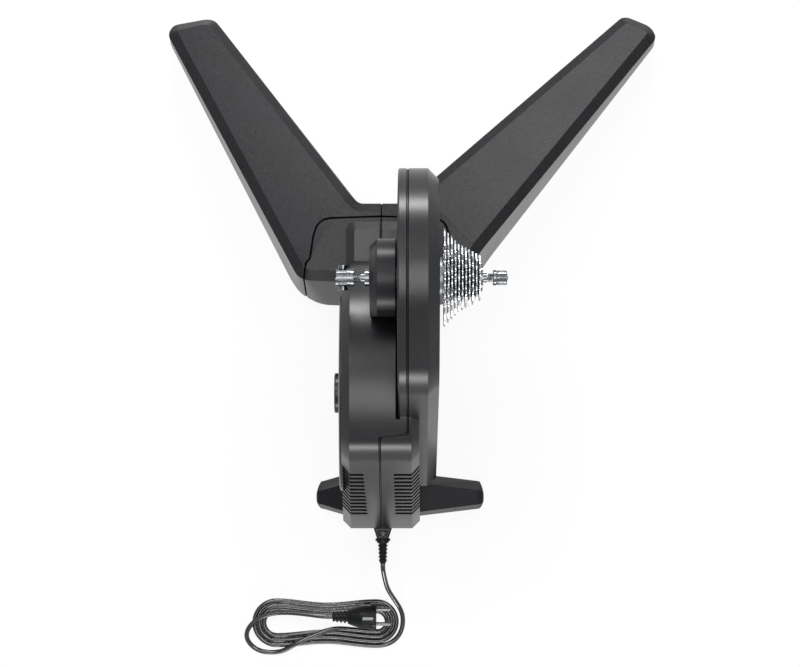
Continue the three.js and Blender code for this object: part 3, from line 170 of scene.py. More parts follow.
# grain and marks are the sizes of the patterns in millimetres
nylonKeys = ("dark", "light", "roughness", "gloss", "grain", "bump")
nylons = {
    # base and legs: speckled and coarse, so that wide flat tops look moulded
    "charcoalNylon": ("08090a", "232427", 0.27, 0.145, 1.5, 0.3),
    # housing: a finer grain with soft bands of light across its curves
    "satinNylon": ("08090a", "1a1b1e", 0.3, 0.3, 1.4, 0.26),
    # the mark on the connector, a pale dot
    "greyNylon": ("4e5052", "626466", 0.5, 0.3, 1.0, 0.1),
    # the rear foot: near black and dull
    "footNylon": ("0e0f10", "16171b", 0.36, 0.08, 1.2, 0.12),
    # plug, connector and collar: black with a slight shine
    "blackNylon": ("070808", "0f1011", 0.3, 0.12, 0.9, 0.1),
    # powder coat on the arm's casting: a broad, soft texture
    "framePaint": ("0c0d10", "16171b", 0.34, 0.2, 1.8, 0.16),
    # pads, and painted shade: black pieces behind seams, joints and vent slots and along the casing's wall,
    # where there is only shade
    "padRubberAndShade": ("020203", "050506", 0.8, 0.02, 0.8, 0.4),
    # smooth, so that a line of light runs along each turn
    "cableSheath": ("08080a", "0e0f10", 0.16, 0.6, 2.2, 0.05),
    "beltRubber": ("131314", "1f1f21", 0.7, 0.2, 1.2, 0.4),
    "laminate": ("1d5f38", "2a7a4a", 0.4, 0.5, 2.0, 0.1),
}
metalKeys = ("dark", "light", "roughness", "marks", "bump")
metals = {
    # quick release and axle ends: dark plating with sharp glints
    "nickel": ("45474a", "6c6e71", 0.24, 0.8, 0.2),
    # cogs: the brightest metal
    "cogSteel": ("8f9194", "bcbec1", 0.24, 0.6, 0.3),
    "steel": ("4c4e52", "6f7276", 0.32, 0.5, 0.35),
    "zinc": ("74777a", "95989c", 0.42, 0.7, 0.3),
    # cast metals: rougher and duller
    "castAluminium": ("8b8d90", "b4b6b9", 0.45, 1.2, 0.6),
    "greyIron": ("3f4144", "5f6266", 0.5, 0.9, 0.5),
}
finish = {name: mouldedNylon(name, dict(zip(nylonKeys, look))) for name, look in nylons.items()}
finish.update({name: bareMetal(name, dict(zip(metalKeys, look))) for name, look in metals.items()})
print("materials made")


# Tools for making pieces

def polar(centre, radius, degrees):
    angle = math.radians(degrees)
    return Vector((centre.x, centre.y + radius * math.cos(angle), centre.z + radius * math.sin(angle)))


# Turns the corners of an outline into curves; each size is how far the curve starts from its corner
def easeCorners(outline, sizes, steps=6):
    eased = []
    for i, corner in enumerate(outline):
        before, after = outline[i - 1], outline[(i + 1) % len(outline)]
        size = min(sizes.get(i, 0), 0.48 * (before - corner).length, 0.48 * (after - corner).length)
        if not size:
            eased.append(corner)
            continue
        start = corner + (before - corner).normalized() * size
        end = corner + (after - corner).normalized() * size
        eased += [start.lerp(corner, k / steps).lerp(corner.lerp(end, k / steps), k / steps)
                  for k in range(steps + 1)]
    return eased


# Moves each side of an anticlockwise outline inwards by its own distance
def insetOutline(outline, distances):
    sides = []
    for (a, b), distance in zip(zip(outline, outline[1:] + outline[:1]), distances):
        way = (b - a).normalized()
        sides.append((a + Vector((-way.y, way.x)) * distance, way))
    moved = []
    for (p, u), (q, v) in zip(sides[-1:] + sides[:-1], sides):
        cross = u.x * v.y - u.y * v.x
        moved.append(q if abs(cross) < 1e-6 else p + u * (((q.x - p.x) * v.y - (q.y - p.y) * v.x) / cross))
    return moved


# A solid whose walls rise from one outline through others with as many points
def raisedSolid(rings, crease=None):
    bm = bmesh.new()
    row = [bm.verts.new(p) for p in rings[0]]
    edges = [bm.edges.new(pair) for pair in zip(row, row[1:] + row[:1])]
    bmesh.ops.contextual_create(bm, geom=edges)
    for ring in rings[1:]:
        made = bmesh.ops.extrude_edge_only(bm, edges=edges)
        fresh = {item for item in made["geom"] if isinstance(item, bmesh.types.BMVert)}
        row = [next(e.other_vert(v) for e in v.link_edges if e.other_vert(v) in fresh) for v in row]
        for v, p in zip(row, ring):
            v.co = p
        edges = [bm.edges.get(pair) for pair in zip(row, row[1:] + row[:1])]
    bmesh.ops.contextual_create(bm, geom=edges)
    if crease:
        bmesh.ops.connect_verts(bm, verts=[row[i] for i in crease])
    bmesh.ops.recalc_face_normals(bm, faces=bm.faces[:])
    return bm


# A flat face in a plane across X, from a start point and a list of moves: a place, or an arc about a centre
def outlineFace(start, moves):
    bm = bmesh.new()
    first = bm.verts.new(start)
    last = first
    for move in moves:
        if isinstance(move, dict):
            made = bmesh.ops.spin(bm, geom=[last], cent=move["about"], axis=(1, 0, 0),
                                  angle=math.radians(move["turn"]), steps=move["steps"])
            last = next(item for item in made["geom_last"] if isinstance(item, bmesh.types.BMVert))
        else:
            following = bm.verts.new(move)
            bm.edges.new((last, following))
            last = following
    bm.edges.new((last, first))
    bmesh.ops.contextual_create(bm, geom=bm.edges[:])
    return bm


# Rounds the corners of a flat outline that lie next to given places
def roundCorners(bm, corners):
    for place, size in corners:
        nearest = min(bm.verts, key=lambda v: (v.co - Vector(place)).length)
        bmesh.ops.bevel(bm, geom=[nearest], offset=size, offset_type="OFFSET", segments=6, profile=0.5,
                        affect="VERTICES", clamp_overlap=False, material=-1)


def shrinkFace(bm, distance):
    made = bmesh.ops.inset_individual(bm, faces=bm.faces[:], thickness=distance, use_even_offset=True)
    bmesh.ops.delete(bm, geom=made["faces"], context="FACES")


def thicken(bm, move):
    made = bmesh.ops.extrude_face_region(bm, geom=bm.faces[:])
    bmesh.ops.translate(bm, verts=[v for v in made["geom"] if isinstance(v, bmesh.types.BMVert)], vec=move)
    bmesh.ops.recalc_face_normals(bm, faces=bm.faces[:])


def chamferEdges(bm, size, chosen, segments=1):
    edges = [e for e in bm.edges if chosen(e)]
    bmesh.ops.bevel(bm, geom=edges, offset=size, offset_type="OFFSET", segments=segments, profile=0.5,
                    affect="EDGES", clamp_overlap=False, material=-1)


# A solid across X whose rims are chamfered at the left and the right
def slab(bm, left, right, leftChamfer, rightChamfer):
    bmesh.ops.translate(bm, verts=bm.verts, vec=(left, 0, 0))
    thicken(bm, (right - left, 0, 0))
    for at, size in ((left, leftChamfer), (right, rightChamfer)):
        chamferEdges(bm, size, lambda e: all(abs(v.co.x - at) < 0.001 for v in e.verts))
    return bm


def brick(low, high):
    bm = bmesh.new()
    bmesh.ops.create_cube(bm, size=1)
    size = Vector(high) - Vector(low)
    bmesh.ops.scale(bm, verts=bm.verts, vec=size)
    bmesh.ops.translate(bm, verts=bm.verts, vec=Vector(low) + size / 2)
    return bm


# A round bar between two places
def bar(start, end, radius, sides, endRadius=None):
    bm = bmesh.new()
    start, end = Vector(start), Vector(end)
    bmesh.ops.create_cone(bm, cap_ends=True, segments=sides, radius1=radius, depth=(end - start).length,
                          radius2=radius if endRadius is None else endRadius)
    turn = (end - start).to_track_quat("Z", "Y").to_matrix().to_4x4()
    bm.transform(Matrix.Translation((start + end) / 2) @ turn)
    return bm


# A turned shape about a line along X, from pairs of radius and X
def turned(centre, profile, steps, closed=False):
    bm = bmesh.new()
    chain = [bm.verts.new((x, centre.y, centre.z + radius)) for radius, x in profile]
    pairs = list(zip(chain, chain[1:])) + ([(chain[-1], chain[0])] if closed else [])
    edges = [bm.edges.new(pair) for pair in pairs]
    bmesh.ops.spin(bm, geom=chain + edges, cent=centre, axis=(1, 0, 0), angle=math.tau, steps=steps,
                   use_merge=True)
    bmesh.ops.remove_doubles(bm, verts=bm.verts, dist=0.001)
    bmesh.ops.recalc_face_normals(bm, faces=bm.faces[:])
    return bm


def joinMeshes(pieces):
    whole = bmesh.new()
    for piece in pieces:
        mesh = bpy.data.meshes.new("scratch")
        piece.to_mesh(mesh)
        piece.free()
        whole.from_mesh(mesh)
        bpy.data.meshes.remove(mesh)
    return whole


# Adds, cuts or crosses two closed meshes; both are used up
def combine(bm, other, operation):
    pair = []
    for part in (bm, other):
        mesh = bpy.data.meshes.new("scratch")
        part.to_mesh(mesh)
        part.free()
        pair.append(bpy.data.objects.new("scratch", mesh))
        bpy.context.scene.collection.objects.link(pair[-1])
    modifier = pair[0].modifiers.new("combine", "BOOLEAN")
    modifier.operation = operation
    modifier.solver = "MANIFOLD"
    modifier.object = pair[1]
    evaluated = pair[0].evaluated_get(bpy.context.evaluated_depsgraph_get())
    result = bmesh.new()
    result.from_mesh(evaluated.to_mesh())
    evaluated.to_mesh_clear()
    for scratch in pair:
        bpy.data.meshes.remove(scratch.data)
    bmesh.ops.remove_doubles(result, verts=result.verts, dist=0.002)
    bmesh.ops.dissolve_limit(result, angle_limit=math.radians(0.4), verts=result.verts, edges=result.edges)
    return result


# Rounds the edges that turn by more than an angle
def softenEdges(bm, size, angle=25, segments=2):
    sharp = [e for e in bm.edges if e.is_manifold and e.calc_face_angle(0) > math.radians(angle)]
    bmesh.ops.bevel(bm, geom=sharp, offset=size, offset_type="OFFSET", segments=segments, profile=0.5,
                    affect="EDGES", clamp_overlap=True, material=-1)


def placePiece(name, bm, material, body, nodesStoodFor=(), sharpAngle=35):
    bm.transform(toRow)
    mesh = bpy.data.meshes.new(name)
    bm.to_mesh(mesh)
    bm.free()
    mesh.materials.append(finish[material])
    mesh.shade_smooth()
    mesh.set_sharp_from_angle(angle=math.radians(sharpAngle))
    piece = bpy.data.objects.new(name, mesh)
    bpy.context.scene.collection.objects.link(piece)
    level = piece.modifiers.new("level faces", "WEIGHTED_NORMAL")
    level.keep_sharp = True
    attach(piece, body)
    if nodesStoodFor:
        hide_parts(*nodesStoodFor)
    return piece


def bodyOf(node):
    return next(name for name, members in frame["record"]["behaviour"]["bodies"].items() if node in members)


def copyNode(node):
    bm = bmesh.new()
    bm.from_mesh(cad[node].data)
    bm.transform(toRow.inverted())
    bmesh.ops.remove_doubles(bm, verts=bm.verts, dist=0.001)
    bmesh.ops.dissolve_limit(bm, angle_limit=math.radians(0.5), verts=bm.verts, edges=bm.edges)
    return bm


# A node's own shape with its edges rounded
def roundedNode(node, suffix, material, size, angle=30, segments=2, sharpAngle=40):
    bm = copyNode(node)
    softenEdges(bm, size, angle, segments)
    placePiece(f"{node}.{suffix}", bm, material, bodyOf(node), (node,), sharpAngle)


# Housing: the flywheel drum, the belt casing that overlaps it on the right and the neck in front,
# moulded in two halves

drumShape = {"radius": 159, "halfWidth": 46.5, "leftChamfer": 9.6, "rightChamfer": 9.2, "start": -83.57,
             "end": 107, "steps": 106, "crease": (-192.4, 325.1), "creaseEnd": (-205.5, 304.4),
             "creaseSteps": 8, "rear": (-311.14, 60.08), "tail": (-306.14, 24), "wall": 3}
# how far the drum's left wall, its middle and its right wall stand off square, at the foot and at the top
drumLean = {"low": 24, "high": 326, "left": (-5.4, 6.6), "middle": (-2.0, 3.0), "right": (1.6, 0.4)}
casingShape = {"radius": 120, "left": 24, "right": 68.3, "edge": 1.5, "chamfer": 12, "start": -40.38,
               "end": 115, "steps": 90, "crease": (-118.14, 417.3), "rear": (-253.5, 104.45),
               "corner": (-238.5, 84.5), "toe": (-50, 96), "creaseRound": 24, "cornerRound": 5,
               "rearRound": 4}
neckShape = {"halfWidth": 42.8, "rear": -34, "front": 76.7, "bottom": 125.3, "top": 148, "chamfer": 10,
             "corner": 12}
seam = {"step": 33.3, "back": -174.1, "slant": 1.6, "frontBack": -60, "frontHeight": 235, "gap": 2.6,
        "bead": 0.9, "corner": 4}
# screen is how deep the dark sheet of painted shade sits behind the slots
vent = {"count": 12, "pitch": 13.9, "height": 8.3, "start": 66, "slope": 66.6, "inner": 17, "back": 9,
        "front": 13, "round": 3.1, "screen": 0.35, "screenThickness": 1.6}
armShape = {"left": -7.3, "right": 21.9, "chamfer": 8.3, "edge": 1, "head": 43, "foot": 30, "fit": 0.3,
            "rear": -42.5, "sunk": 3.2}
# what passes through the shell: a square opening by two corners, a round one by its ends, radius and sides
openings = {
    "frameTongue": ((3.7, -60.3, 61.7), (14.3, 75.3, 100.3)),
    "axle": ((22, 0, 340), (29, 0, 340), 12.9, 48),
    "freehub": ((63, 0, 340), (71, 0, 340), 23.8, 64),
    "cover": ((-54, -133, 178), (-36, -133, 178), 106.5, 96),
    "inlet": ((-14.8, -311.3, 30.2), (14.8, -283.7, 51.8)),
    "footBolt": ((0, -262, 10), (0, -262, 60), 4.3, 24),
}


# The drum is drafted like any moulding, and stands a little out of square
def leanDrum(bm):
    d = drumLean
    for v in bm.verts:
        lift = (v.co.z - d["low"]) / (d["high"] - d["low"])
        left, middle, right = (low + (high - low) * lift
                               for low, high in (d["left"], d["middle"], d["right"]))
        share = min(abs(v.co.x) / drumShape["halfWidth"], 1)
        v.co.x += middle + ((left if v.co.x < 0 else right) - middle) * share


def drumForm(depth):
    d = drumShape
    arcEnd = polar(drum, d["radius"], d["end"])
    corner, slopeStart = Vector((0, *d["crease"])), Vector((0, *d["creaseEnd"]))
    parts = [k / d["creaseSteps"] for k in range(1, d["creaseSteps"] + 1)]
    bend = [arcEnd.lerp(corner, t).lerp(corner.lerp(slopeStart, t), t) for t in parts]
    bm = outlineFace(polar(drum, d["radius"], d["start"]), [
        {"about": drum, "turn": d["end"] - d["start"], "steps": d["steps"]},
        *bend, (0, *d["rear"]), (0, *d["tail"])])
    if depth:
        shrinkFace(bm, depth)
    half = d["halfWidth"] - depth
    bm = slab(bm, -half, half, d["leftChamfer"], d["rightChamfer"])
    leanDrum(bm)
    return bm


def casingForm(depth):
    c = casingShape
    bm = outlineFace(polar(axle, c["radius"], c["start"]), [
        {"about": axle, "turn": c["end"] - c["start"], "steps": c["steps"]},
        (0, *c["crease"]), (0, *c["rear"]), (0, *c["corner"]), (0, *c["toe"])])
    roundCorners(bm, [((0, *c[place]), c[place + "Round"]) for place in ("crease", "corner", "rear")])
    if depth:
        shrinkFace(bm, depth)
    return slab(bm, c["left"] + depth, c["right"] - depth, c["edge"], c["chamfer"])


def neckForm(depth):
    n = neckShape
    half = n["halfWidth"] - depth
    bm = brick((-half, n["rear"], n["bottom"] + depth), (half, n["front"] - depth, n["top"] - depth))
    chamferEdges(bm, n["corner"], lambda e: e.verts[0].co.y > 50 and e.verts[1].co.y > 50
                 and abs(e.verts[0].co.z - e.verts[1].co.z) > 5, 6)
    top = n["top"] - depth
    chamferEdges(bm, n["chamfer"], lambda e: all(v.co.z > top - 0.01 for v in e.verts)
                 and not all(v.co.y < n["rear"] + 0.01 for v in e.verts))
    return bm


def housingForm(depth):
    return combine(combine(drumForm(depth), casingForm(depth), "UNION"), neckForm(depth), "UNION")


def armForm(grow):
    a = armShape
    span = axle - drum
    heading = math.degrees(math.atan2(span.z, span.y))
    lean = math.degrees(math.acos((a["foot"] - a["head"]) / span.length))
    foot, head = a["foot"] + grow, a["head"] + grow
    bm = outlineFace(polar(drum, foot, heading + lean), [
        {"about": drum, "turn": 360 - 2 * lean, "steps": 32}, polar(axle, head, heading - lean),
        {"about": axle, "turn": 2 * lean, "steps": 72}])
    bm = slab(bm, a["left"] - grow, a["right"] + grow, a["chamfer"], a["edge"])
    return combine(bm, aboveDrum(grow), "DIFFERENCE")


# The room behind the arm's head, over the drum
def aboveDrum(grow):
    back = armShape["rear"] - grow
    return combine(brick((-60, back - 120, 150), (60, back, 420)), drumForm(armShape["sunk"]), "DIFFERENCE")


# Everything on the right of the seam, grown by a distance
def rightRegion(grow):
    s = seam
    far, front, rear = 260.0, 160.0, -460.0
    bm = bmesh.new()
    jogStart, jogEnd = s["back"] + s["slant"] + grow, s["back"] - s["slant"] + grow
    plan = [(s["step"] - grow, front), (s["step"] - grow, jogStart), (-grow, jogEnd),
            (-grow, rear), (far, rear), (far, front)]
    bm.faces.new([bm.verts.new((x, y, -20)) for x, y in plan])
    roundCorners(bm, [((s["step"] - grow, jogStart, -20), s["corner"]), ((-grow, jogEnd, -20), s["corner"])])
    thicken(bm, (0, 0, 520))
    low = brick((-grow, s["frontBack"] - grow, -30), (far + 10, front + 10, s["frontHeight"] + grow))
    bm = combine(bm, low, "UNION")
    leanDrum(bm)
    return bm


def ventCutters():
    slope = math.radians(vent["slope"])
    cutters = []
    for i in range(vent["count"]):
        run = vent["start"] + i * vent["pitch"]
        y = drumShape["rear"][0] + run * math.cos(slope)
        z = drumShape["rear"][1] + run * math.sin(slope)
        for side in (-1, 1):
            far = side * (drumShape["halfWidth"] + 2)
            near = side * vent["inner"]
            slot = brick((min(far, near), y - vent["back"], z - vent["height"] / 2),
                         (max(far, near), y + vent["front"], z + vent["height"] / 2))
            chamferEdges(slot, vent["round"], lambda e: all(abs(v.co.x - near) < 0.01 for v in e.verts)
                         and abs(e.verts[0].co.y - e.verts[1].co.y) > 5, 4)
            cutters.append(slot)
    return joinMeshes(cutters)


shell = combine(housingForm(0), housingForm(drumShape["wall"]), "DIFFERENCE")
for cutter in (
    armForm(armShape["fit"]),
    brick(*openings["frameTongue"]),
    bar(*openings["axle"]),
    bar(*openings["freehub"]),
    bar(*openings["cover"]),
    brick(*openings["inlet"]),
    ventCutters(),
    bar(*openings["footBolt"]),
):
    shell = combine(shell, cutter, "DIFFERENCE")
scratch = bpy.data.meshes.new("scratch")
shell.to_mesh(scratch)
shell.free()
for name, operation, grow in (
    ("housing_left", "DIFFERENCE", seam["gap"] / 2),
    ("housing_right", "INTERSECT", -seam["gap"] / 2),
):
    half = bmesh.new()
    half.from_mesh(scratch)
    half = combine(half, rightRegion(grow), operation)
    placePiece(name + ".shell", half, "satinNylon", "base", (name,))
bpy.data.meshes.remove(scratch)

# A black lip closes the seam from inside and a black fill sits in its gap, painted shade for the dark inside
# of the joint, and a thin bead stands in it.
# Each layer has two depths under the surface and a half width.
seamLayers = {
    "housing_seam.shade_lip": {"material": "padRubberAndShade", "depths": (3.05, 4.6), "half": 4},
    "housing_seam.shade_fill": {"material": "padRubberAndShade", "depths": (1.3, 3.2), "half": seam["gap"] / 2},
    "housing_seam.bead": {"material": "satinNylon", "depths": (0.5, 4), "half": seam["bead"] / 2},
}
for name, s in seamLayers.items():
    layer = combine(*(housingForm(depth) for depth in s["depths"]), "DIFFERENCE")
    strip = combine(rightRegion(s["half"]), rightRegion(-s["half"]), "DIFFERENCE")
    layer = combine(layer, strip, "INTERSECT")
    placePiece(name, combine(layer, armForm(1), "DIFFERENCE"), s["material"], "base")

# Dark sheet close behind the vent slots, painted shade so that the slots read black
screen = combine(drumForm(vent["screen"]), drumForm(vent["screen"] + vent["screenThickness"]), "DIFFERENCE")
placePiece("vent_shade_screen", combine(screen, ventCutters(), "INTERSECT"), "padRubberAndShade", "base")

# Black strip on the drum along the casing's left wall, painted shade for the dark line where the wall meets
# the drum
shadeStrip = {"low": (20.6, -156, 250), "high": (25.5, -46, 345), "proud": 0.35, "depth": 1.2}
shadeLine = combine(drumForm(-shadeStrip["proud"]), drumForm(shadeStrip["depth"]), "DIFFERENCE")
shadeLine = combine(shadeLine, brick(shadeStrip["low"], shadeStrip["high"]), "INTERSECT")
placePiece("casing_shade.strip", shadeLine, "padRubberAndShade", "base")
print("housing halves made")


# Painted arm: a fine outline over the cast frame inside

armBores = (((-12, 0, 340), (25, 0, 340), 9.8, 48), ((-12, -133, 178), (25, -133, 178), 16.3, 48))
arm = combine(combine(copyNode("main_frame"), aboveDrum(0), "DIFFERENCE"), armForm(0.02), "UNION")
for bore in armBores:
    arm = combine(arm, bar(*bore), "DIFFERENCE")
placePiece("main_frame.casting", arm, "framePaint", "base", ("main_frame",))
print("arm made")


# Left cover, its cap and the thin collar round the pulley's hub

# a slight dome with a rounded rim, and a plug that enters the hole in the drum's wall
coverShape = {"radius": 117.5, "seat": -46.2, "dome": 4.6, "fall": 1.2, "flat": 112, "rings": 10,
              "rimHeight": 2.6, "plug": 105.8, "plugDepth": 6}
seat, rim, plug = (coverShape[k] for k in ("seat", "radius", "plug"))
rimX, plugX = seat - coverShape["rimHeight"], seat + coverShape["plugDepth"]
profile = [(0, seat - coverShape["dome"])]
for i in range(1, coverShape["rings"] + 1):
    r = coverShape["flat"] * i / coverShape["rings"]
    profile.append((r, seat - coverShape["dome"] + coverShape["fall"] * (i / coverShape["rings"]) ** 2))
profile += [(rim - 3.5, rimX - 0.5), (rim - 1.5, rimX), (rim - 0.4, rimX + 0.8), (rim, rimX + 1.8),
            (rim, seat + 1), (plug, seat + 1), (plug, plugX), (plug - 2, plugX), (0, seat - 1.5)]
cover = turned(drum, profile, 128)
leanDrum(cover)
placePiece("side_cover.disc", cover, "satinNylon", "base", ("side_cover",))
profile = [(0, -48), (24, -48), (24, -54.3), (23.6, -55.3), (22.7, -55.9), (21.4, -56.1), (12, -56.1),
           (0, -56.1)]
cap = turned(drum, profile, 72)
leanDrum(cap)
placePiece("cover_cap.disc", cap, "satinNylon", "base", ("cover_cap",))
profile = [(24.4, 68.6), (27.4, 68.6), (28, 68.9), (27.7, 69.5), (24.8, 69.5)]
placePiece("casing_collar.ring", turned(axle, profile, 72, True), "blackNylon", "base", ("casing_collar",))
print("covers made")


# Base halves and legs: moulded skins with eased corners, parted from each other by an open joint

baseShape = {"top": 125, "bottom": 12, "front": 104, "rear": -24.7, "chamfer": 13, "frontChamfer": 10.5,
             "tipTop": 49, "rearPlan": [(56.5, -24.7), (82.7, -23.4), (108.9, -9)], "innerFlat": 26.9,
             "reach": 353.4, "wall": 3, "falls": [0, 0, 0, 0, 0, 0.95, 1, 1, 0.95, 0, 0, 0],
             "joint": 2.2, "middleJoint": 1.4, "drumGap": 0.1, "lip": (1.3, 5), "lipHalf": 3.5,
             "middleLipHalf": 2.4,
             "easing": {1: 13, 2: 13, 3: 13, 4: 13, 5: 9, 6: 9, 7: 9, 8: 6, 9: 10, 10: 10}}
drafts = {"rear": 28, "corner": 19, "side": 14.5, "tip": 4, "front": 3}
legShapes = {
    "left": {"side": -1, "outerRoot": (120.8, 8.1), "outerAngle": 27.1, "outerShare": 1,
             "innerRoot": (34.1, 111), "innerAngle": 38, "innerShare": 0.8398, "nose": (-8.7, 17),
             "innerNose": (11, 3)},
    "right": {"side": 1, "outerRoot": (136.6, 34.2), "outerAngle": 37.84, "outerShare": 1.0223,
              "innerRoot": (46, 119.2), "innerAngle": 48.86, "innerShare": 0.9887, "nose": (-10.4, 18.5),
              "innerNose": (9, 1)},
}
joint = {"plan": [(-2, -27), (103, -27), (93.4, 26.7), (88.4, 31.7), (84.7, 60.2), (79.5, 75), (69.8, 81.6),
                  (-2, 84)],
         "easing": {2: 3, 3: 3, 4: 12, 5: 9, 6: 9}}


def reachOut(start, degrees, length):
    angle = math.radians(degrees)
    return Vector(start) + Vector((math.sin(angle), math.cos(angle))) * length


def legForm(leg, depth, middle):
    b = baseShape
    tip = reachOut(leg["outerRoot"], leg["outerAngle"], b["reach"] * leg["outerShare"])
    innerTip = reachOut(leg["innerRoot"], leg["innerAngle"], b["reach"] * leg["innerShare"])
    plan = [Vector((0, b["rear"])), *map(Vector, b["rearPlan"]), Vector(leg["outerRoot"]), tip,
            tip + Vector(leg["nose"]), innerTip + Vector(leg["innerNose"]), innerTip,
            Vector(leg["innerRoot"]), Vector((b["innerFlat"], b["front"])), Vector((0, b["front"]))]

    def drawnIn(rear, corner, side, tipWay, front):
        distances = [rear, rear, corner, side, side, tipWay, tipWay, tipWay, front, front, front]
        return insetOutline(plan, [d + depth for d in distances] + [middle])

    foot = drawnIn(0, 0, 0, 0, 0)
    shoulder = drawnIn(*(drafts[k] for k in ("rear", "corner", "side", "tip", "front")))
    rim = drawnIn(*(drafts[k] + b["chamfer"] for k in ("rear", "corner", "side")),
                  *(drafts[k] + b["frontChamfer"] for k in ("tip", "front")))
    rings = [[], [], []]
    for i, fall in enumerate(b["falls"]):
        height = b["top"] - (b["top"] - b["tipTop"]) * fall - depth
        rise = (height - b["chamfer"] - b["bottom"]) / (b["top"] - b["chamfer"] - b["bottom"])
        side = foot[i].lerp(shoulder[i], rise)
        rings[0].append(Vector((*foot[i], b["bottom"] - 2 * bool(depth))))
        rings[1].append(Vector((*side, height - b["chamfer"])))
        rings[2].append(Vector((*(side + rim[i] - shoulder[i]), height)))
    steps = 5
    eased = [easeCorners(ring, b["easing"], steps) for ring in rings]
    root, tipPoint, inside = (1 + i * (steps + 1) + steps // 2 for i in (3, 5, 8))
    # the top is two true planes that meet in a crease between the roots of the leg's edges
    start, end = eased[2][root].to_2d(), eased[2][inside].to_2d()
    across = Vector((end.y - start.y, start.x - end.x)).normalized()
    reach = (eased[2][tipPoint].to_2d() - start).dot(across)
    for point in eased[2]:
        beyond = max(0, (point.to_2d() - start).dot(across) / reach)
        point.z = b["top"] - depth - beyond * (b["top"] - b["tipTop"])
    bm = raisedSolid(eased, (root, inside))
    bmesh.ops.scale(bm, verts=bm.verts, vec=(leg["side"], 1, 1))
    bmesh.ops.recalc_face_normals(bm, faces=bm.faces[:])
    return bm


# Inside the joint between a base half and its leg, grown by a distance
def hubRegion(leg, grow):
    plan = insetOutline([Vector(p) for p in joint["plan"]], [-grow] * len(joint["plan"]))
    plan = easeCorners(plan, joint["easing"], 5)
    bm = raisedSolid([[Vector((*p, z)) for p in plan] for z in (-5, 130)])
    bmesh.ops.scale(bm, verts=bm.verts, vec=(leg["side"], 1, 1))
    bmesh.ops.recalc_face_normals(bm, faces=bm.faces[:])
    return bm


b = baseShape
for side, leg in legShapes.items():
    for name, operation, depths, middles, grow in (
        ("hub", "INTERSECT", (0, b["wall"]), (b["middleJoint"] / 2, -2), -b["joint"] / 2),
        ("leg", "DIFFERENCE", (0, b["wall"]), (b["middleJoint"] / 2, -2), b["joint"] / 2),
        ("joint", "INTERSECT", b["lip"], (-2.5, -4), b["lipHalf"]),
    ):
        skin = combine(legForm(leg, depths[0], middles[0]), legForm(leg, depths[1], middles[1]), "DIFFERENCE")
        # the joint's strip is black rubber behind the open joint, painted shade where the gap would show
        # through
        if name == "joint":
            strip = combine(hubRegion(leg, grow), hubRegion(leg, -grow), "DIFFERENCE")
            skin = combine(combine(skin, strip, operation), drumForm(0), "DIFFERENCE")
            placePiece(f"base_joint_shade_{side}", skin, "padRubberAndShade", "base")
        else:
            skin = combine(combine(skin, hubRegion(leg, grow), operation), drumForm(-b["drumGap"]),
                           "DIFFERENCE")
            # the low angle keeps the crease across the leg's top crisp
            placePiece(f"{name}_{side}.skin", skin, "charcoalNylon", "base", (f"{name}_{side}",), 11)
# a dark lip behind the joint between the two base halves, painted shade where the open joint shows
lipLeg, lipHalf = legShapes["left"], b["middleLipHalf"]
middleLip = combine(legForm(lipLeg, b["lip"][0], -2.5), legForm(lipLeg, b["lip"][1], -2.6), "DIFFERENCE")
middleLip = combine(middleLip, brick((-lipHalf, -40, 0), (lipHalf, 120, 130)), "INTERSECT")
placePiece("base_middle.shade_lip", combine(middleLip, drumForm(0), "DIFFERENCE"), "padRubberAndShade", "base")

# the foot's ends are rounded in plan
footEnds = {"left": -86.3, "right": 130.8, "middle": -273.5, "halfDepth": 40, "endHalfDepth": 18.4,
            "taper": 34, "corner": 17}
f = footEnds
stations = [(f["left"], f["endHalfDepth"]), (f["left"] + f["taper"], f["halfDepth"]),
            (f["right"] - f["taper"], f["halfDepth"]), (f["right"], f["endHalfDepth"])]
plan = ([Vector((x, f["middle"] - y)) for x, y in stations]
        + [Vector((x, f["middle"] + y)) for x, y in stations[::-1]])
plan = easeCorners(plan, {i: f["corner"] for i in (0, 3, 4, 7)}, 8)
rounded = raisedSolid([[Vector((*p, z)) for p in plan] for z in (-5, 60)])
foot = combine(copyNode("rear_foot"), rounded, "INTERSECT")
placePiece("rear_foot.skin", foot, "footNylon", "base", ("rear_foot",), 30)
for node in ("leg_pad_left", "leg_pad_right", "rear_foot_pad_left", "rear_foot_pad_right"):
    roundedNode(node, "skin", "padRubberAndShade", 1.4, 25, 3, 35)
print("base made")


# Cassette: cogs with round valleys, black spacers between them, lock ring

cassette = {"teeth": [25, 23, 21, 19, 17, 16, 15, 14, 13, 12, 11], "first": 74.5, "pitch": 3.87,
            "thickness": 1.8, "chain": 12.7, "roller": 4.05, "mouth": 62, "tip": 3.05, "tipHalf": 0.65,
            "bore": 17.3, "spacer": 21, "twist": 7.0}


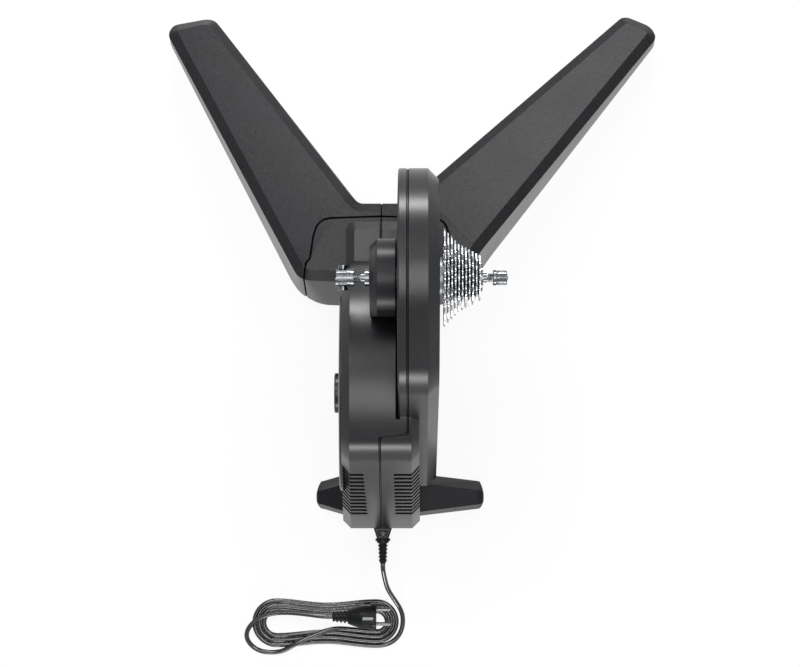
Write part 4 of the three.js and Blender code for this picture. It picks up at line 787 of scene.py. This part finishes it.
def cogSolid(teeth, middle):
    c = cassette
    pitchRadius = c["chain"] / (2 * math.sin(math.pi / teeth))
    step = 360 / teeth
    tipRadius = pitchRadius + c["tip"]
    tipLean = math.degrees(c["tipHalf"] / tipRadius)
    valley = polar(axle, pitchRadius, 0)
    left = middle - c["thickness"] / 2
    # one valley between two half teeth, then turned round the axle
    bm = bmesh.new()
    start = bm.verts.new(polar(axle, tipRadius, -step / 2 + tipLean))
    flank = bm.verts.new(polar(valley, c["roller"], c["mouth"] - 180))
    bm.edges.new((start, flank))
    made = bmesh.ops.spin(bm, geom=[flank], cent=valley, axis=(1, 0, 0),
                          angle=math.radians(-2 * c["mouth"]), steps=6)
    bottom = next(v for v in made["geom_last"] if isinstance(v, bmesh.types.BMVert))
    end = bm.verts.new(polar(axle, tipRadius, step / 2 - tipLean))
    bm.edges.new((bottom, end))
    following = bm.verts.new(polar(axle, tipRadius, step / 2 + tipLean))
    bm.edges.new((end, following))
    bmesh.ops.spin(bm, geom=bm.verts[:] + bm.edges[:], cent=axle, axis=(1, 0, 0), angle=math.tau, steps=teeth,
                   use_duplicate=True)
    bmesh.ops.remove_doubles(bm, verts=bm.verts, dist=0.01)
    bmesh.ops.contextual_create(bm, geom=bm.edges[:])
    bmesh.ops.translate(bm, verts=bm.verts, vec=(left, 0, 0))
    thicken(bm, (c["thickness"], 0, 0))
    chamferEdges(bm, 0.3, lambda e: abs(e.verts[0].co.x - e.verts[1].co.x) < 0.001)
    bm = combine(bm, bar((left - 2, 0, 340), (left + 4, 0, 340), c["bore"], 48), "DIFFERENCE")
    body = pitchRadius - c["roller"] - 2.5
    if body > c["spacer"] + 6:
        count = 6 if teeth > 20 else 5
        for i in range(count):
            centre = polar(axle, (body + c["spacer"]) / 2, i * 360 / count)
            hole = bar((left - 2, centre.y, centre.z), (left + 4, centre.y, centre.z),
                       (body - c["spacer"]) / 2 - 0.3, 20)
            bm = combine(bm, hole, "DIFFERENCE")
    return bm


for i, teeth in enumerate(cassette["teeth"]):
    bm = cogSolid(teeth, cassette["first"] + i * cassette["pitch"])
    turn = Matrix.Rotation(math.radians(i * cassette["twist"]), 3, "X")
    bmesh.ops.rotate(bm, cent=axle, matrix=turn, verts=bm.verts)
    placePiece(f"cog_{teeth}t.plate", bm, "cogSteel", "freehub", (f"cog_{teeth}t",), 25)
rings = []
for i in range(len(cassette["teeth"]) - 1):
    left = cassette["first"] + i * cassette["pitch"] + cassette["thickness"] / 2 + 0.05
    right = left + cassette["pitch"] - cassette["thickness"] - 0.1
    root = cassette["chain"] / (2 * math.sin(math.pi / cassette["teeth"][i + 1])) - cassette["roller"]
    outer = min(cassette["spacer"], root - 0.4)
    rings.append(turned(axle, [(cassette["bore"], left), (outer - 0.3, left), (outer, left + 0.3),
                               (outer, right - 0.3), (outer - 0.3, right), (cassette["bore"], right)],
                        60, True))
placePiece("cassette_spacers", joinMeshes(rings), "blackNylon", "freehub")
print("cassette made")


# Quick release, axle ends and springs

def springWire(centre, radius, left, right, turns, wire):
    bm = bmesh.new()
    made = bmesh.ops.create_circle(bm, segments=10, radius=wire)
    bmesh.ops.rotate(bm, cent=(0, 0, 0), matrix=Matrix.Rotation(math.pi / 2, 3, "X"), verts=made["verts"])
    bmesh.ops.translate(bm, verts=made["verts"], vec=(left, centre.y, centre.z + radius))
    steps = int(turns * 28)
    bmesh.ops.spin(bm, geom=bm.verts[:] + bm.edges[:], cent=centre, axis=(1, 0, 0),
                   dvec=((right - left) / steps, 0, 0), angle=math.tau * turns, steps=steps)
    bmesh.ops.holes_fill(bm, edges=bm.edges[:])
    bmesh.ops.recalc_face_normals(bm, faces=bm.faces[:])
    return bm


springs = {
    "skewer_spring_left": {"left": -24.2, "right": -18.4, "turns": 3.5, "radius": 4.1},
    "skewer_spring_right": {"left": 122.2, "right": 127.2, "turns": 3, "radius": 4.3},
}
for node, s in springs.items():
    bm = springWire(axle, s["radius"], s["left"], s["right"], s["turns"], 0.55)
    placePiece(node + ".coil", bm, "nickel", bodyOf(node), (node,), 60)

barrel = {"radius": 10, "core": 8.5, "flutes": 12, "fluteRadius": 1.5, "left": -44.1, "right": -29.3}
coreBar = ((barrel["left"] + 1, 0, 340), (barrel["right"] - 1, 0, 340), barrel["core"], 48)
# for the skewer's rod and for the cam's pin
barrelBores = (((-40, 0, 340), (-25, 0, 340), 2.9, 24), ((-37, -14, 340), (-37, 14, 340), 4.0, 28))
bm = bar((barrel["left"], 0, 340), (barrel["right"], 0, 340), barrel["radius"], 84)
softenEdges(bm, 0.8, 40, 3)
grooves = []
for i in range(barrel["flutes"]):
    p = polar(axle, barrel["radius"] + 0.2, (i + 0.5) * 360 / barrel["flutes"])
    grooves.append(bar((barrel["left"] + 1.6, p.y, p.z), (barrel["right"] - 2.6, p.y, p.z),
                       barrel["fluteRadius"], 14))
bm = combine(bm, joinMeshes(grooves), "DIFFERENCE")
for bore in (coreBar, *barrelBores):
    bm = combine(bm, bar(*bore), "DIFFERENCE")
placePiece("qr_barrel.knurled", bm, "nickel", bodyOf("qr_barrel"), ("qr_barrel",), 30)
# black core that shows at the bottom of the grooves
core = bar(*coreBar)
for bore in barrelBores:
    core = combine(core, bar(*bore), "DIFFERENCE")
placePiece("qr_barrel.core", core, "padRubberAndShade", bodyOf("qr_barrel"))

knob = {"profile": [(0, 128), (8.1, 128), (8.5, 128.4), (8.5, 131.4), (8.0, 132.1), (7.5, 132.4),
                    (7.5, 133.0), (8, 133.4), (8, 142.4), (7.2, 143.3), (6.2, 143.4), (0, 143.4)],
        "slots": 6, "slotRadius": 1.9}
bm = turned(axle, knob["profile"], 72)
grooves = []
for i in range(knob["slots"]):
    p = polar(axle, 8.6, (i + 0.5) * 360 / knob["slots"])
    grooves.append(bar((134.6, p.y, p.z), (141.6, p.y, p.z), knob["slotRadius"], 20))
bm = combine(bm, joinMeshes(grooves), "DIFFERENCE")
bm = combine(bm, bar((126, 0, 340), (146, 0, 340), 2.9, 24), "DIFFERENCE")
placePiece("qr_nut.knob", bm, "nickel", bodyOf("qr_nut"), ("qr_nut",), 30)

fineEdges = {"axle_locknut": 0.4, "hollow_axle": 0.3, "qr_washer": 0.5, "qr_lever": 0.9,
             "cassette_lockring": 0.3, "skewer_rod": 0.3, "cam_pin": 0.5}
for node, size in fineEdges.items():
    roundedNode(node, "plated", "nickel", size)
print("quick release made")


# The rest of the machine keeps its solids
kept = {
    "steel": ["flywheel_shaft", "flywheel_bearing", "pulley_bearing", "freehub_bearing", "tensioner_roller"],
    "zinc": ["leg_beam_left", "leg_beam_right", "leg_bolt_left", "leg_bolt_right", "rear_foot_bolt",
             "tensioner_bracket"],
    "castAluminium": ["freehub_body"],
    "greyIron": ["flywheel", "brake_yoke"],
    "beltRubber": ["drive_belt"],
    "laminate": ["circuit_board"],
    "blackNylon": ["power_inlet"],
}
for material, names in kept.items():
    for name in names:
        cad[name].data.materials.clear()
        cad[name].data.materials.append(finish[material])
roundedNode("drive_pulley", "turned", "castAluminium", 0.4)
print("kept nodes dressed")


# Appliance connector

roundedNode("cord_connector", "body", "blackNylon", 0.6, 25, 2, 35)
# a raised rim and a round grip mark on the top
connector = {"top": 48.8, "mark": (0.4, -319.5)}
frameOutline = [Vector(p) for p in ((-6.4, -324), (6.4, -324), (9.6, -313.5), (-9.6, -313.5))]
inner = insetOutline(frameOutline, [1.3] * 4)
rim = combine(raisedSolid([[Vector((*p, z)) for p in frameOutline] for z in (47, connector["top"] + 0.5)]),
              raisedSolid([[Vector((*p, z)) for p in inner] for z in (46, connector["top"] + 2)]),
              "DIFFERENCE")
placePiece("cord_connector.rim", rim, "satinNylon", "base")
mark = bar((*connector["mark"], 47.6), (*connector["mark"], connector["top"] + 0.4), 3, 36)
softenEdges(mark, 0.4, 40, 2)
placePiece("cord_connector.mark", mark, "greyNylon", "base")


# Mains plug: round face, two pins and an earth strip in a recess on the top and the underside

plugMiddle = Vector((0, -431, 25))
profile = [(0, -66), (5.2, -66), (6.2, -65.6), (6.6, -63.8), (5.5, -63.4), (5.5, -61.4), (6.9, -61),
           (7.2, -58.8), (5.8, -58.4), (5.8, -56.4), (7.5, -56), (7.8, -53.8), (6.2, -53.4), (6.2, -51.4),
           (8.1, -51), (8.4, -48.8), (6.6, -48.4), (6.6, -46.4), (9.2, -45.8), (10.6, -42.5), (12.2, -38),
           (14.8, -30), (16.4, -22), (17.2, -16), (18.3, -13.6), (18.3, -10), (17.4, -9), (0, -9)]
pinGap, pinRadius = 9.5, 2.4
# the bricks' middles off the plug's middle, on one side and mirrored to the other, and their sizes
plugBricks = {"recess": ((-17, 0, 17.2), (22, 14, 6.4)), "flats": ((-29.5, 21, 0), (25, 11, 20)),
              "earth": ((-19.55, 0, 15), (13.9, 3.8, 1))}


def bothSides(name):
    (x, y, z), size = plugBricks[name]
    middles = [plugMiddle + Vector((x, side * y, side * z)) for side in (-1, 1)]
    return joinMeshes([brick(middle - Vector(size) / 2, middle + Vector(size) / 2) for middle in middles])


bm = turned(plugMiddle, profile, 64)
for name in ("recess", "flats"):
    bm = combine(bm, bothSides(name), "DIFFERENCE")
softenEdges(bm, 0.5, 30, 2)
placePiece("mains_plug.body", bm, "blackNylon", "base", ("mains_plug",), 40)
pins = joinMeshes([bar((-12, -431 + side * pinGap, 25), (10, -431 + side * pinGap, 25), pinRadius, 28)
                   for side in (-1, 1)])
softenEdges(pins, 0.9, 40, 3)
placePiece("mains_plug.pins", pins, "nickel", "base")
strips = bothSides("earth")
softenEdges(strips, 0.3, 40, 2)
placePiece("mains_plug.earth", strips, "steel", "base")
print("plug made")


# Mains lead, laid along the route that its solids follow

cordSize = {"radius": 3.1, "loopMiddle": (-75, -442), "straight": 132, "loopRadius": 31.5, "waist": 5.5,
            "pitch": 6.35, "turns": 3, "closest": 0.4, "smoothings": 6}
leadRoute = [
    (0, -359, 41), (0, -364.9, 41),
    (1, -373, 36.5), (3, -384, 30), (6, -395, 22.5), (11, -405, 15.5), (17, -415, 9.5),
    (22, -424, 5.5), (25, -433, 3.6), (25.5, -443, 3.1), (23.5, -453, 3.1), (18, -462.5, 3.1),
    (9, -469.5, 3.1), (-2.8, -473.5, 3.1),
]
tailRoute = [
    (-56, -449.7, 5), (-68, -450.6, 8.5), (-79, -453.2, 10.1), (-89, -457.5, 10.1),
    (-99, -461.5, 10.1), (-111, -467, 10.1), (-121, -473, 9.7), (-134, -480, 5.5),
    (-148, -482, 3.2), (-163, -480, 3.1), (-174, -473, 3.3), (-180, -463, 6),
    (-179, -452, 9.6), (-172, -442, 10.1), (-162, -435, 10.3), (-151, -430.5, 11.2),
    (-137, -428, 13), (-119, -427.5, 16.5), (-101, -428.5, 20.5), (-86, -430, 23.6),
    (-72.2, -431, 25), (-66.3, -431, 25),
]


def loopRoute():
    points = []
    half = cordSize["straight"] / 2
    middleX, middleY = cordSize["loopMiddle"]
    finer = 6
    for i in range(cordSize["turns"] * 24 * finer + finer + 1):
        step = i / finer
        radius = cordSize["loopRadius"] - cordSize["pitch"] * step / 24
        side = 1 if int(step // 12) % 2 == 0 else -1
        within = step % 12
        turn = math.radians(-90 * side - max(0.0, within - 4) / 8 * 180)
        centreX = middleX + side * half * (1 - 2 * min(within / 4, 1))
        x = centreX + radius * math.cos(turn)
        y = middleY + radius * math.sin(turn)
        drawnIn = cordSize["waist"] * (1 + math.cos(math.pi * min(abs(x - middleX) / half, 1))) / 2
        points.append(Vector((x, y + side * drawnIn, cordSize["radius"])))
    return points


# An even curve through the points
def smoothRoute(points, parts=6):
    path = [Vector(p) for p in points]
    path = [path[0] * 2 - path[1]] + path + [path[-1] * 2 - path[-2]]
    smooth = []
    for a, b, c, d in zip(path, path[1:], path[2:], path[3:]):
        for i in range(parts):
            t = i / parts
            smooth.append(0.5 * ((2 * b) + (c - a) * t + (2 * a - 5 * b + 4 * c - d) * t * t
                                 + (3 * b - a - 3 * c + d) * t ** 3))
    smooth.append(path[-2])
    return smooth


cordPath = smoothRoute(leadRoute) + loopRoute() + smoothRoute(tailRoute)
cordPath = [p for i, p in enumerate(cordPath) if i == 0 or (p - cordPath[i - 1]).length > cordSize["closest"]]
for step in range(cordSize["smoothings"]):
    between = [(a + b * 2 + c) / 4 for a, b, c in zip(cordPath, cordPath[1:], cordPath[2:])]
    cordPath = [cordPath[0], *between, cordPath[-1]]
cordData = bpy.data.curves.new("mains_cord", "CURVE")
cordData.dimensions = "3D"
spline = cordData.splines.new("POLY")
spline.points.add(len(cordPath) - 1)
for point, place in zip(spline.points, cordPath):
    point.co = (*(toRow @ place), 1)
cordData.bevel_depth = cordSize["radius"] / 1000
cordData.bevel_resolution = 5
cordData.use_fill_caps = True
cordData.materials.append(finish["cableSheath"])
cordPiece = bpy.data.objects.new("mains_cord", cordData)
bpy.context.scene.collection.objects.link(cordPiece)
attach(cordPiece, "base")
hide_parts("cord_lead", "cord_loops", "cord_tail")


# Floor, background and lamps

floorMaterial, tree = newMaterial("pale floor")
path = addNode(tree, "ShaderNodeLightPath")
seen = addNode(tree, "ShaderNodeMath", {"operation": "MAXIMUM"},
               {0: path.outputs["Is Camera Ray"], 1: path.outputs["Is Glossy Ray"]})
white = addNode(tree, "ShaderNodeEmission", {"Color": (1, 1, 1, 1), "Strength": 1.0})
matt = addNode(tree, "ShaderNodeBsdfDiffuse", {"Color": linear("e6e6e6")})
share = addNode(tree, "ShaderNodeMath", {"operation": "MULTIPLY"}, {0: seen.outputs[0]})
share.inputs[1].default_value = 0.9
mixed = addNode(tree, "ShaderNodeMixShader", None,
                {0: share.outputs[0], 1: matt.outputs[0], 2: white.outputs[0]})
addNode(tree, "ShaderNodeOutputMaterial", None, {"Surface": mixed.outputs[0]})
bm = bmesh.new()
bmesh.ops.create_grid(bm, x_segments=1, y_segments=1, size=8)
bmesh.ops.translate(bm, verts=bm.verts, vec=(0, 0, -0.0004))
floorMesh = bpy.data.meshes.new("floor")
bm.to_mesh(floorMesh)
bm.free()
floorMesh.materials.append(floorMaterial)
floor = bpy.data.objects.new("floor", floorMesh)
bpy.context.scene.collection.objects.link(floor)
floor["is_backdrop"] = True

world = bpy.data.worlds.new("world")
bpy.context.scene.world = world
world.use_nodes = True
tree = world.node_tree
tree.nodes.clear()
path = addNode(tree, "ShaderNodeLightPath")
seen = addNode(tree, "ShaderNodeMath", {"operation": "MAXIMUM"},
               {0: path.outputs["Is Camera Ray"], 1: path.outputs["Is Glossy Ray"]})
seenToo = addNode(tree, "ShaderNodeMath", {"operation": "MAXIMUM"},
                  {0: seen.outputs[0], 1: path.outputs["Is Transmission Ray"]})
low = addNode(tree, "ShaderNodeBackground", {"Color": (1, 1, 1, 1), "Strength": 0.1})
bright = addNode(tree, "ShaderNodeBackground", {"Color": (1, 1, 1, 1), "Strength": 1.0})
mixed = addNode(tree, "ShaderNodeMixShader", None,
                {0: seenToo.outputs[0], 1: low.outputs[0], 2: bright.outputs[0]})
addNode(tree, "ShaderNodeOutputWorld", None, {"Surface": mixed.outputs[0]})

lampAim = Vector((-0.05, 0, 0.2))
lamps = {
    "topLamp": {"place": (0.2, -0.2, 6.0), "size": (2.7, 2.7), "power": 150},
    "leftLegLamp": {"place": (-2.0, 2.9, 5.0), "size": (2.0, 2.0), "power": 155},
    "rightLegLamp": {"place": (2.5, 2.7, 5.0), "size": (2.0, 2.0), "power": 135},
    "frontLamp": {"place": (-0.1, 2.8, 0.9), "size": (1.4, 0.5), "power": 75},
    "rearLamp": {"place": (-0.1, -2.8, 0.85), "size": (1.2, 0.6), "power": 40},
}
for name, lamp in lamps.items():
    data = bpy.data.lights.new(name, "AREA")
    data.shape = "RECTANGLE"
    data.size, data.size_y = lamp["size"]
    data.energy = lamp["power"]
    light = bpy.data.objects.new(name, data)
    light.location = lamp["place"]
    light.rotation_mode = "QUATERNION"
    light.rotation_quaternion = (Vector(lamp["place"]) - lampAim).to_track_quat("Z", "Y")
    light.visible_camera = False
    bpy.context.scene.collection.objects.link(light)

bpy.context.scene.view_settings.view_transform = "Standard"
print("stage lit")

low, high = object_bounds()
